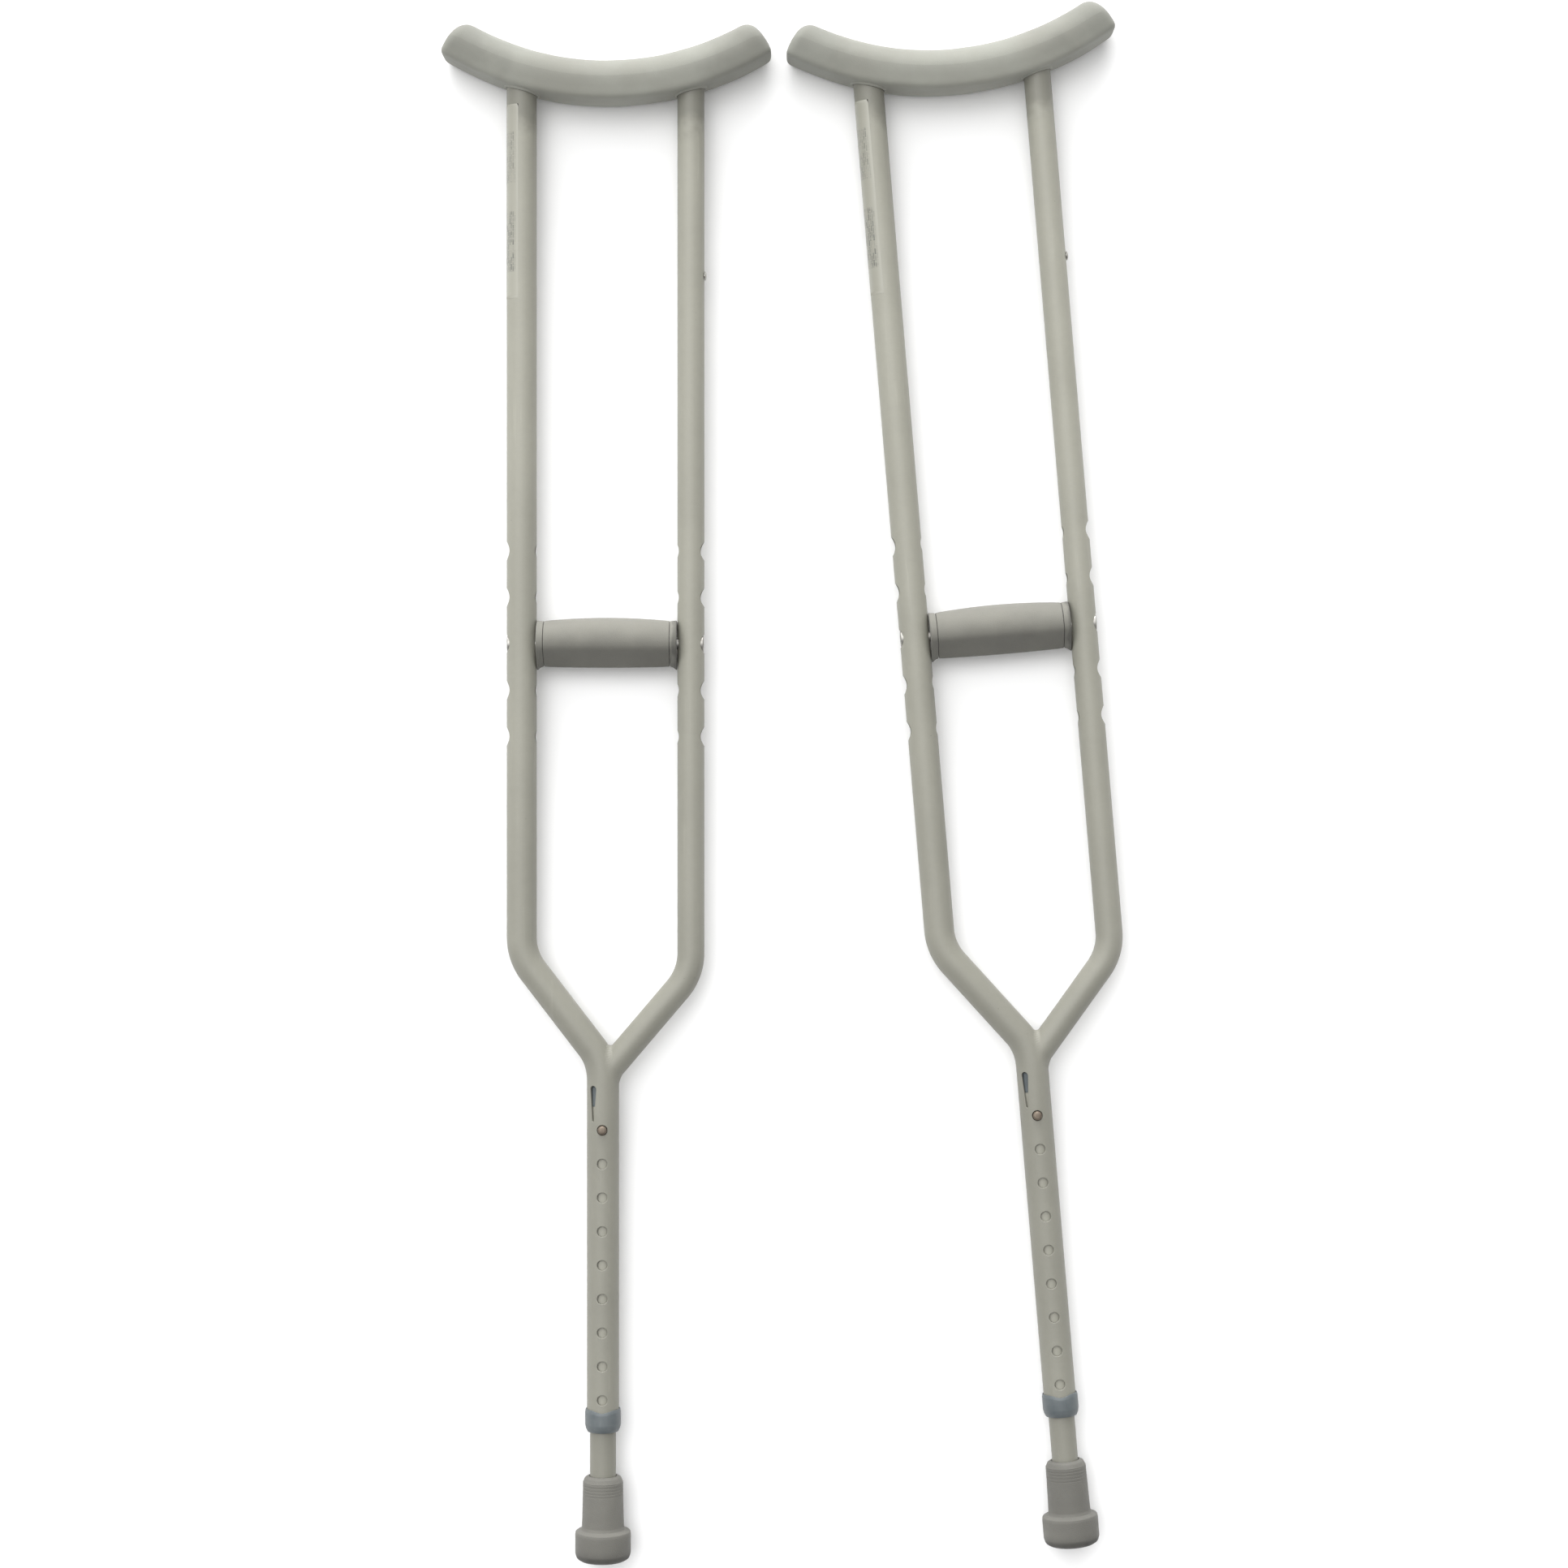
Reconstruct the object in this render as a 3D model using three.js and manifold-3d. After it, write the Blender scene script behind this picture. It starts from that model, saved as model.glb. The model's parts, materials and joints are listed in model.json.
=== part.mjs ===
// A pair of steel underarm crutches with push-button legs, lying flat side by side.
// Millimetres, +Z up. Each crutch is drawn along +Y, from its sole at y = 0 to its underarm pad,
// with +X across the rails and +Z out of its front. The origin is under the middle of the pair.
import * as THREE from 'three';
import { mergeVertices } from 'three/addons/utils/BufferGeometryUtils.js';
import Module from 'manifold-3d';

const wasm = await Module();
wasm.setup();

// ---- Driving dimensions ----

const CLEARANCE = 0.3; // left between pieces that touch on the real object
const ROUND_SIDES = 16; // sides of a round section
const BEND_RINGS = 5; // sections around one tube bend
const ACCESS_HOLE_SIDES = 12;
const SMALL_HOLE_SIDES = 10;
const PAD_ARC_STEPS = 12;
const CORNER_STEPS = 3;

// Frame tubes
const LEFT_RAIL_X = -61.4; // each rail's axis, from the leg's
const RIGHT_RAIL_X = 66.4;
const MAIN_R = 11.3; // the left rail
const LEG_R = 12.1; // the same tube, opened out below the fork
const MAIN_WALL = 1.6;
const SIDE_R = 10.2; // the right rail
const SIDE_WALL = 1.5;
const LEG_END_Y = 103; // lower end of the main tube
const RAIL_TOP_Y = 1112;
const MAIN_FORK_Y = 378; // where the main tube's slope meets the leg's axis
const MAIN_SHOULDER_Y = 458; // where it meets the rail's axis
const SIDE_FORK_Y = 367;
const SIDE_SHOULDER_Y = 445;
const BEND_R = 42;
const WELD_LEG = 2.4; // how far the weld bead reaches up each tube
const RIVET_Y = 972;
const RIVET_SHANK_R = 1.6;
const RIVET_HEAD_R = 3.4;

// Leg extension
const EXTENSION_R = 9.8;
const EXTENSION_WALL = 1.2;
const EXTENSION_TOP_Y = 345;
const EXTENSION_END_Y = 14;
const GUIDE_TOP_Y = 361;
const HOLE_PITCH = 25.4;
const LEG_HOLES = 9;
const BUTTON_Y = 327.6; // the uppermost hole, where the button stands
const BUTTON_R = 3.4;
const BUTTON_PROUD = 2.8; // above the leg's surface
const BUTTON_BASE_Z = 5.9;
const SLOT_Y = 358; // middle of the round end of the drain slot
const SLOT_LENGTH = 27;

// Rubber tip
const TIP_R = 21;
const TIP_BASE = 24.5;
const TIP_NECK_R = 15.7;
const TIP_TOP_Y = 67.5;
const TIP_FLOOR = 12; // rubber under the tube's end

// Handgrip
const GRIP_Y = 694;
const GRIP_HOLE_PITCH = 35;
const GRIP_HOLES_EACH_WAY = 2;
const GRIP_R = 18.9;
const GRIP_END_R = 17.3;
const GRIP_CORE_R = 11.1;
const GRIP_CORE_WALL = 1.5;
const ACCESS_HOLE_R = 7; // outer wall of a rail, for the bolt's head
const SHANK_HOLE_R = 4.5; // inner wall of a rail
const BOLT_HEAD_R = 6.6;
const BOLT_SHANK_R = 4;
const GRIP_LEFT_X = LEFT_RAIL_X + MAIN_R; // the main rail's inner side
const GRIP_RIGHT_X = RIGHT_RAIL_X - SIDE_R;
const GRIP_SIDES = 24;
const FINGER_FLAT = 0.815; // how far the drawn-in finger side stands from the middle, as a share of the radius
const FINGER_TILT = THREE.MathUtils.degToRad(50);
const CAP_LENGTH = 5.6; // of an end cap, measured from the rail's inner side
const CAP_HORN = 1.2; // how far it then reaches around the rail

// Underarm pad
const PAD_CENTRE_Y = 1341; // centre of the pad's arcs
const PAD_LOWER_R = 239.2;
const PAD_UPPER_R = 208.6;
const PAD_HALF_ANGLE = THREE.MathUtils.degToRad(31.3);
const PAD_DEPTH = 2 * TIP_R; // as deep as the tip, so that a crutch lies level
const PAD_LOWER_CORNER_R = 5.5;
const PAD_UPPER_CORNER_R = 10;
const PAD_ROUND_DEPTH = 11; // how far the long edges are rounded over, in depth
const PAD_ROUND_IN = 5.2; // and across
const YOKE_LOWER_R = 232;
const YOKE_UPPER_R = 226;
const YOKE_HALF_ANGLE = THREE.MathUtils.degToRad(26);
const YOKE_DEPTH = 24;
const SCREW_R = 2.2;
const SCREW_HEAD_R = 4.4;
const SCREW_SEAT_Y = 1122.6;

// Where the crutches lie
const FIRST_X = -136;
const SECOND_X = 218.7;
const SECOND_Y = 12.3;
const SECOND_LEAN = THREE.MathUtils.degToRad(4.8);

// ---- Solids ----

function closed(geometry) {
  const bare = geometry.index ? geometry.toNonIndexed() : geometry.clone();
  for (const name of Object.keys(bare.attributes)) {
    if (name !== 'position') bare.deleteAttribute(name);
  }
  const merged = mergeVertices(bare, 1e-4);
  const place = merged.attributes.position;
  const corners = [0, 1, 2].map(() => new THREE.Vector3());
  const kept = [];
  let volume = 0;
  for (let i = 0; i < merged.index.count; i += 3) {
    const face = [0, 1, 2].map((k) => merged.index.getX(i + k));
    if (new Set(face).size < 3) continue;
    corners.forEach((corner, k) => corner.fromBufferAttribute(place, face[k]));
    volume += corners[0].dot(corners[1].clone().cross(corners[2]));
    kept.push(face);
  }
  const outward = volume < 0 ? kept.map(([a, b, c]) => [a, c, b]) : kept;
  merged.setIndex(outward.flat());
  return merged;
}

function solid(geometry) {
  const mesh = closed(geometry);
  return new wasm.Manifold(new wasm.Mesh({
    numProp: 3,
    vertProperties: new Float32Array(mesh.attributes.position.array),
    triVerts: new Uint32Array(mesh.index.array),
  }));
}

function geometryOf(manifold) {
  const mesh = manifold.getMesh();
  const geometry = new THREE.BufferGeometry();
  geometry.setAttribute('position', new THREE.BufferAttribute(new Float32Array(mesh.vertProperties), 3));
  geometry.setIndex(new THREE.BufferAttribute(new Uint32Array(mesh.triVerts), 1));
  return geometry;
}

function cut(body, ...tools) {
  let left = solid(body);
  for (const tool of tools) {
    left = left.subtract(solid(tool));
  }
  return geometryOf(left);
}

// A solid or ring turned about +Y from [radius, y] corners.
function turned(profile, sides = ROUND_SIDES) {
  const points = profile.map(([radius, y]) => new THREE.Vector2(radius, y));
  const onAxis = points[0].x === 0 && points.at(-1).x === 0;
  if (!onAxis) points.push(points[0].clone());
  return new THREE.LatheGeometry(points, sides);
}

function ring(innerR, outerR, low, high, sides = ROUND_SIDES) {
  return turned([[innerR, low], [outerR, low], [outerR, high], [innerR, high]], sides);
}

function rodAlongY(radius, low, high, sides = ROUND_SIDES) {
  return turned([[0, low], [radius, low], [radius, high], [0, high]], sides);
}

// Turns +Y into +X, so that what was made along +Y lies across the rails.
function acrossRails(geometry) {
  return geometry.rotateZ(-Math.PI / 2);
}

function rodAcross(radius, low, high, sides = ROUND_SIDES) {
  return acrossRails(rodAlongY(radius, low, high, sides));
}

// Turns +Y into +Z, so that what was made along +Y points out of the front.
function outOfFront(geometry) {
  return geometry.rotateX(Math.PI / 2);
}

// ---- Bent tubes ----

// Straight runs joined by arcs in the XY plane. Sections stand only at the ends and around the bends.
class BentPath {
  constructor(corners, radius) {
    this.stations = [];
    const points = corners.map(([x, y]) => new THREE.Vector3(x, y, 0));
    const way = points.slice(1).map((point, i) => point.clone().sub(points[i]).normalize());
    this.stations.push({ point: points[0], tangent: way[0], bend: 0 });
    for (let i = 1; i < points.length - 1; i++) {
      this.bend(points[i], way[i - 1], way[i], radius, i);
    }
    this.stations.push({ point: points.at(-1), tangent: way.at(-1), bend: points.length });
  }

  bend(corner, before, after, radius, index) {
    const turn = before.angleTo(after);
    const side = Math.sign(before.x * after.y - before.y * after.x);
    const start = corner.clone().addScaledVector(before, -radius * Math.tan(turn / 2));
    const inward = new THREE.Vector3(-before.y * side, before.x * side, 0);
    const centre = start.clone().addScaledVector(inward, radius);
    const up = new THREE.Vector3(0, 0, 1);
    for (let k = 0; k < BEND_RINGS; k++) {
      const angle = side * turn * k / (BEND_RINGS - 1);
      const point = start.clone().sub(centre).applyAxisAngle(up, angle).add(centre);
      const share = k / (BEND_RINGS - 1);
      this.stations.push({ point, tangent: before.clone().applyAxisAngle(up, angle), bend: index - 1 + share });
    }
  }
}

// Joins rings of points, in order, into one skin.
function lofted(rings, closedLoop) {
  const place = [];
  const face = [];
  const sides = rings[0].length;
  rings.forEach((ring) => ring.forEach((point) => place.push(point.x, point.y, point.z)));
  const last = closedLoop ? rings.length : rings.length - 1;
  for (let i = 0; i < last; i++) {
    const next = (i + 1) % rings.length;
    for (let k = 0; k < sides; k++) {
      const a = i * sides + k;
      const b = i * sides + (k + 1) % sides;
      const c = next * sides + (k + 1) % sides;
      const d = next * sides + k;
      face.push(a, b, c, a, c, d);
    }
  }
  const geometry = new THREE.BufferGeometry();
  geometry.setAttribute('position', new THREE.BufferAttribute(new Float32Array(place), 3));
  geometry.setIndex(face);
  return geometry;
}

function sectionRing(station, radius) {
  const ring = [];
  for (let k = 0; k < ROUND_SIDES; k++) {
    const angle = 2 * Math.PI * k / ROUND_SIDES;
    const across = radius * Math.cos(angle);
    const { point, tangent } = station;
    const x = point.x + tangent.y * across;
    const y = point.y - tangent.x * across;
    ring.push(new THREE.Vector3(x, y, radius * Math.sin(angle)));
  }
  return ring;
}

// A tube along a path, or a rod when it has no wall. radiusAt gives each station's outer radius.
function sweptTube(path, radiusAt, wall) {
  const outer = path.stations.map((station) => sectionRing(station, radiusAt(station)));
  if (wall) {
    const inner = path.stations.map((station) => sectionRing(station, radiusAt(station) - wall));
    return lofted([...outer, ...inner.reverse()], true);
  }
  const ends = [path.stations[0], path.stations.at(-1)].map((station) => sectionRing(station, 0));
  return lofted([ends[0], ...outer, ends[1]], false);
}

// The leg is as wide as LEG_R up to the fork, and the tube narrows to its rail's size round the first bend.
function mainRadius(grow = 0) {
  return (station) => {
    const share = THREE.MathUtils.smoothstep(station.bend, 0, 1);
    return LEG_R + (MAIN_R - LEG_R) * share + grow;
  };
}

function sideRadius(grow = 0) {
  return () => SIDE_R + grow;
}

function mainPath(low = LEG_END_Y, high = RAIL_TOP_Y) {
  return new BentPath([[0, low], [0, MAIN_FORK_Y], [LEFT_RAIL_X, MAIN_SHOULDER_Y], [LEFT_RAIL_X, high]], BEND_R);
}

// The side rail's axis starts inside the leg, where the main tube's outside cuts it off.
function sidePath(high = RAIL_TOP_Y) {
  return new BentPath([[0, SIDE_FORK_Y], [RIGHT_RAIL_X, SIDE_SHOULDER_Y], [RIGHT_RAIL_X, high]], BEND_R);
}

function gripHoleHeights() {
  const heights = [];
  for (let k = -GRIP_HOLES_EACH_WAY; k <= GRIP_HOLES_EACH_WAY; k++) {
    heights.push(GRIP_Y + k * GRIP_HOLE_PITCH);
  }
  return heights;
}

// side is -1 for the left rail and 1 for the right one.
function railX(side) {
  return side < 0 ? LEFT_RAIL_X : RIGHT_RAIL_X;
}

function gripHoleTools(side) {
  const middle = railX(side);
  const drill = (radius, far, y, sides) => (
    rodAcross(radius, Math.min(middle, far), Math.max(middle, far), sides).translate(0, y, 0)
  );
  return gripHoleHeights().flatMap((y) => [
    drill(ACCESS_HOLE_R, middle + side * 30, y, ACCESS_HOLE_SIDES),
    drill(SHANK_HOLE_R, middle - side * 30, y, SMALL_HOLE_SIDES),
  ]);
}

function mainTube() {
  const tools = gripHoleTools(-1);
  for (let k = 0; k < LEG_HOLES; k++) {
    tools.push(outOfFront(rodAlongY(BUTTON_R + 0.5, 1, 30, SMALL_HOLE_SIDES)).translate(0, BUTTON_Y - k * HOLE_PITCH, 0));
  }
  tools.push(drainSlotTool());
  return cut(sweptTube(mainPath(), mainRadius(), MAIN_WALL), ...tools);
}

// A drop-shaped slot in the front left of the leg, round above and narrowing downwards.
function drainSlotTool() {
  const wide = 2.8;
  const narrow = 0.9;
  const outline = new THREE.Shape();
  outline.absarc(0, 0, wide, 0, Math.PI);
  outline.lineTo(-narrow, wide - SLOT_LENGTH);
  outline.lineTo(narrow, wide - SLOT_LENGTH);
  const blade = new THREE.ExtrudeGeometry(outline, { depth: 22, bevelEnabled: false, curveSegments: 4 });
  return blade.rotateY(-Math.PI / 5).translate(0, SLOT_Y, 0);
}

function sideTube() {
  const legRoom = sweptTube(mainPath(LEG_END_Y + 150, MAIN_SHOULDER_Y + 40), mainRadius(CLEARANCE));
  const rivetHole = rodAcross(RIVET_SHANK_R + CLEARANCE, RIGHT_RAIL_X, RIGHT_RAIL_X + 30, 10).translate(0, RIVET_Y, 0);
  const tube = sweptTube(sidePath(), sideRadius(), SIDE_WALL);
  return cut(tube, legRoom, ...gripHoleTools(1), rivetHole);
}

// The bead that joins the side tube's foot to the main tube, all the way round.
function forkWeld() {
  const short = MAIN_SHOULDER_Y + 40;
  const near = solid(sweptTube(mainPath(LEG_END_Y + 150, short), mainRadius(WELD_LEG)));
  const main = solid(sweptTube(mainPath(LEG_END_Y + 150, short), mainRadius(CLEARANCE)));
  const round = solid(sweptTube(sidePath(short), sideRadius(WELD_LEG)));
  const side = solid(sweptTube(sidePath(short), sideRadius(CLEARANCE)));
  return geometryOf(round.subtract(side).intersect(near.subtract(main)));
}

// ---- Fixings on the rails ----

function railRivet() {
  const surface = SIDE_R + CLEARANCE;
  return acrossRails(turned([
    [0, SIDE_R - SIDE_WALL - 1.4], [RIVET_SHANK_R, SIDE_R - SIDE_WALL - 1.4], [RIVET_SHANK_R, surface],
    [RIVET_HEAD_R, surface], [RIVET_HEAD_R * 0.8, surface + 0.9], [0, surface + 1.3],
  ], 10)).translate(RIGHT_RAIL_X, RIVET_Y, 0);
}

// A clear printed band wrapped around the outer front of the left rail.
function railLabel() {
  const low = 954;
  const high = 1100;
  const inner = MAIN_R + 0.15;
  const outer = MAIN_R + 0.45;
  const from = Math.PI * 0.55;
  const to = Math.PI * 1.15;
  const band = new THREE.Shape();
  band.absarc(0, 0, outer, from, to, false);
  band.absarc(0, 0, inner, to, from, true);
  const strip = new THREE.ExtrudeGeometry(band, { depth: high - low, bevelEnabled: false, curveSegments: 6 });
  return strip.rotateX(Math.PI / 2).translate(LEFT_RAIL_X, high, 0);
}

// A plug pressed into a rail's top end, bored for the yoke's screw.
function railPlug(tubeR, wall) {
  const bore = SCREW_R + CLEARANCE;
  const body = tubeR - wall - CLEARANCE;
  const rim = tubeR - CLEARANCE;
  const low = RAIL_TOP_Y - 22;
  const seat = RAIL_TOP_Y + CLEARANCE;
  const top = RAIL_TOP_Y + 2.2;
  return turned([[bore, low], [body, low], [body, seat], [rim, seat], [rim, top], [bore, top]], 18);
}

// ---- Underarm pad ----

function arcPoints(x, y, radius, from, to, steps) {
  return new THREE.ArcCurve(x, y, radius, from, to, to < from).getPoints(steps);
}

// The outline between two arcs about the pad's centre, with round corners.
function crescent(lowerR, upperR, halfAngle, lowerCornerR = 0, upperCornerR = 0) {
  const down = -Math.PI / 2;
  const quarter = Math.PI / 2;
  const lowerAngle = halfAngle - lowerCornerR / (lowerR - lowerCornerR);
  const upperAngle = halfAngle - upperCornerR / (upperR + upperCornerR);
  const long = (radius, from, to) => arcPoints(0, PAD_CENTRE_Y, radius, from, to, PAD_ARC_STEPS);
  const corner = (cornerR, radius, angle, quarters) => {
    if (!cornerR) return [];
    const x = radius * Math.cos(angle);
    const y = PAD_CENTRE_Y + radius * Math.sin(angle);
    const from = angle + quarters * quarter;
    const points = arcPoints(x, y, cornerR, from, from + quarter, CORNER_STEPS);
    return quarters % 2 ? points.slice(0, -1) : points.slice(1);
  };
  const lowerCorner = (angle, quarters) => corner(lowerCornerR, lowerR - lowerCornerR, angle, quarters);
  const upperCorner = (angle, quarters) => corner(upperCornerR, upperR + upperCornerR, angle, quarters);
  return new THREE.Shape([
    ...long(lowerR, down - lowerAngle, down + lowerAngle),
    ...lowerCorner(down + lowerAngle, 0),
    ...upperCorner(down + upperAngle, 1),
    ...long(upperR, down + upperAngle, down - upperAngle),
    ...upperCorner(down - upperAngle, 2),
    ...lowerCorner(down - lowerAngle, 3),
  ]);
}

function yokeBar(room) {
  const bar = crescent(YOKE_LOWER_R + room, YOKE_UPPER_R - room, YOKE_HALF_ANGLE + room / YOKE_LOWER_R);
  const depth = YOKE_DEPTH + 2 * room;
  return new THREE.ExtrudeGeometry(bar, { depth, bevelEnabled: false }).translate(0, 0, -depth / 2);
}

function padYoke() {
  const tools = [LEFT_RAIL_X, RIGHT_RAIL_X].flatMap((x) => [
    rodAlongY(SCREW_R + CLEARANCE, 1100, 1140, 12).translate(x, 0, 0),
    rodAlongY(SCREW_HEAD_R + CLEARANCE, SCREW_SEAT_Y, 1140, 12).translate(x, 0, 0),
  ]);
  return cut(yokeBar(0), ...tools);
}

function yokeScrew() {
  const seat = SCREW_SEAT_Y + CLEARANCE;
  return turned([
    [0, 1096], [SCREW_R, 1098], [SCREW_R, seat], [SCREW_HEAD_R, seat],
    [SCREW_HEAD_R, seat + 1.6], [SCREW_HEAD_R * 0.7, seat + 2.8], [0, seat + 2.8],
  ], 12);
}

function underarmPad() {
  const outline = crescent(PAD_LOWER_R, PAD_UPPER_R, PAD_HALF_ANGLE, PAD_LOWER_CORNER_R, PAD_UPPER_CORNER_R);
  const flat = PAD_DEPTH - 2 * PAD_ROUND_DEPTH;
  const body = new THREE.ExtrudeGeometry(outline, {
    depth: flat,
    bevelThickness: PAD_ROUND_DEPTH,
    bevelSize: PAD_ROUND_IN,
    bevelOffset: -PAD_ROUND_IN,
    bevelSegments: 3,
  }).translate(0, 0, -flat / 2);
  const railRoom = 0.5;
  return cut(
    body,
    yokeBar(CLEARANCE + 0.1),
    rodAlongY(MAIN_R + railRoom, 1080, 1118).translate(LEFT_RAIL_X, 0, 0),
    rodAlongY(SIDE_R + railRoom, 1080, 1118).translate(RIGHT_RAIL_X, 0, 0),
    rodAlongY(SCREW_HEAD_R + railRoom, 1118, SCREW_SEAT_Y + 3.6, 12).translate(LEFT_RAIL_X, 0, 0),
    rodAlongY(SCREW_HEAD_R + railRoom, 1118, SCREW_SEAT_Y + 3.6, 12).translate(RIGHT_RAIL_X, 0, 0),
  );
}

// ---- Handgrip ----

function gripCore() {
  const innerR = GRIP_CORE_R - GRIP_CORE_WALL;
  return acrossRails(ring(innerR, GRIP_CORE_R, GRIP_LEFT_X + 0.4, GRIP_RIGHT_X - 0.4));
}

// The sleeve's finger side is drawn in on both faces, so its section is an egg with the narrow end down.
function gripShare(angle) {
  const down = Math.atan2(-Math.cos(angle), Math.abs(Math.sin(angle)));
  const flat = FINGER_FLAT / Math.max(0.2, Math.cos(down - FINGER_TILT));
  return Math.min(1, flat);
}

// A profile of [radius, x] turned round the grip's axis with the egg-shaped section. The bore stays round.
function gripBody(profile, bore) {
  const rings = profile.map(([radius, x]) => {
    const ring = [];
    for (let k = 0; k < GRIP_SIDES; k++) {
      const angle = 2 * Math.PI * k / GRIP_SIDES;
      const share = radius > bore ? gripShare(angle) : 1;
      ring.push(new THREE.Vector3(x, radius * share * Math.cos(angle), radius * share * Math.sin(angle)));
    }
    return ring;
  });
  return lofted(rings, true);
}

function gripSleeve() {
  const from = GRIP_LEFT_X + CAP_LENGTH + CLEARANCE;
  const to = GRIP_RIGHT_X - CAP_LENGTH - CLEARANCE;
  const rings = 8;
  const bore = GRIP_CORE_R + 0.4;
  const profile = [[bore, from]];
  for (let k = 0; k <= rings; k++) {
    const bulge = Math.sin(Math.PI * k / rings);
    profile.push([GRIP_END_R + (GRIP_R - GRIP_END_R) * bulge, from + (to - from) * k / rings]);
  }
  profile.push([bore, to]);
  return gripBody(profile, bore);
}

// An end cap that saddles its rail. side is -1 for the left and 1 for the right.
function gripCap(side) {
  const railR = side < 0 ? MAIN_R : SIDE_R;
  const face = side < 0 ? GRIP_LEFT_X : GRIP_RIGHT_X;
  const back = face - side * CAP_LENGTH;
  const horn = face + side * CAP_HORN;
  const bore = GRIP_CORE_R + 0.4;
  const cap = gripBody([
    [bore, back], [GRIP_END_R, back], [GRIP_END_R + 0.5, face], [GRIP_END_R + 0.7, horn], [bore, horn],
  ], bore);
  return cut(cap, rodAlongY(railR + CLEARANCE + 0.1, -40, 40, 24).translate(railX(side), 0, 0));
}

function gripNut(side) {
  const face = side < 0 ? GRIP_LEFT_X + 0.6 : GRIP_RIGHT_X - 0.6;
  const back = face - side * 18;
  const outerR = GRIP_CORE_R - GRIP_CORE_WALL - CLEARANCE;
  return acrossRails(ring(BOLT_SHANK_R + CLEARANCE, outerR, Math.min(face, back), Math.max(face, back), 16));
}

// A bolt whose long round head fills the rail's access hole. Its tip reaches into the grip's nut.
function gripBolt(side) {
  const railR = side < 0 ? MAIN_R : SIDE_R;
  const bore = railR - (side < 0 ? MAIN_WALL : SIDE_WALL);
  const middle = Math.abs(railX(side));
  const face = middle + railR - 0.5;
  const seat = middle - Math.sqrt(bore ** 2 - BOLT_HEAD_R ** 2) + 0.4;
  const tip = middle - railR - 16;
  const keyR = 4.2;
  const keyDepth = 6;
  const bolt = turned([
    [0, tip], [BOLT_SHANK_R, tip], [BOLT_SHANK_R, seat], [BOLT_HEAD_R, seat],
    [BOLT_HEAD_R, face - 0.6], [BOLT_HEAD_R - 0.6, face], [0, face],
  ], 16);
  const key = rodAlongY(keyR, face - keyDepth, face + 1, 6);
  const made = acrossRails(cut(bolt, key));
  return side < 0 ? made.rotateY(Math.PI) : made;
}

// ---- Leg extension ----

function extensionTube() {
  const tube = ring(EXTENSION_R - EXTENSION_WALL, EXTENSION_R, EXTENSION_END_Y, EXTENSION_TOP_Y);
  const hole = outOfFront(rodAlongY(BUTTON_R + 0.5, 1, 30, SMALL_HOLE_SIDES)).translate(0, BUTTON_Y, 0);
  return cut(tube, hole);
}

// A plastic plug in the extension's upper end. Its long collar runs in the leg and keeps the extension straight.
function legGuide() {
  const body = EXTENSION_R - EXTENSION_WALL - CLEARANCE;
  const rim = LEG_R - MAIN_WALL - 0.5;
  const seat = EXTENSION_TOP_Y + CLEARANCE;
  const top = GUIDE_TOP_Y;
  return turned([
    [0, seat - 3.6], [body, seat - 3.6], [body, seat], [rim, seat], [rim, top - 1.2], [rim - 1.2, top],
    [rim - 2.6, top], [rim - 2.6, seat + 2], [0, seat + 2],
  ]);
}

function pushButton() {
  const top = LEG_R + BUTTON_PROUD;
  return outOfFront(turned([
    [0, BUTTON_BASE_Z], [BUTTON_R + 1.4, BUTTON_BASE_Z], [BUTTON_R + 1.4, BUTTON_BASE_Z + 0.8],
    [BUTTON_R, BUTTON_BASE_Z + 0.8],
    [BUTTON_R, top - 1.4], [BUTTON_R * 0.75, top - 0.4], [0, top],
  ], 14)).translate(0, BUTTON_Y, 0);
}

// A bent leaf spring inside the extension: one leaf under the button, one against the back wall.
function buttonSpring() {
  const width = 7;
  const leaf = 0.6;
  const high = BUTTON_BASE_Z - CLEARANCE;
  const bendY = BUTTON_Y - 34;
  const endY = BUTTON_Y + 8;
  const outline = new THREE.Shape();
  outline.moveTo(endY, high);
  outline.lineTo(BUTTON_Y - 6, high);
  outline.lineTo(bendY, 1.6);
  outline.absarc(bendY, 0, 1.6, Math.PI / 2, Math.PI * 1.5, false);
  outline.lineTo(BUTTON_Y - 6, -6.4);
  outline.lineTo(endY, -6.4);
  outline.lineTo(endY, -6.4 + leaf);
  outline.lineTo(BUTTON_Y - 6, -6.4 + leaf);
  outline.lineTo(bendY, -1.6 + leaf);
  outline.absarc(bendY, 0, 1.6 - leaf, Math.PI * 1.5, Math.PI / 2, true);
  outline.lineTo(BUTTON_Y - 6, high - leaf);
  outline.lineTo(endY, high - leaf);
  const strip = new THREE.ExtrudeGeometry(outline, { depth: width, bevelEnabled: false, curveSegments: 4 });
  const lay = new THREE.Matrix4().makeBasis(
    new THREE.Vector3(0, 1, 0), new THREE.Vector3(0, 0, 1), new THREE.Vector3(1, 0, 0),
  );
  return strip.translate(0, 0, -width / 2).applyMatrix4(lay);
}

// A plastic ferrule on the leg's lower end, whose lip centres the extension.
function legCollar() {
  const low = 99.4;
  const high = 116.6;
  const boreR = LEG_R + CLEARANCE + 0.1;
  const lipR = EXTENSION_R + CLEARANCE;
  return turned([
    [lipR, low], [11.8, low], [13.1, low + 2.6], [13.5, low + 5], [13.5, high - 2], [13, high],
    [boreR, high], [boreR, LEG_END_Y - CLEARANCE], [lipR, LEG_END_Y - CLEARANCE],
  ], 24);
}

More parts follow.
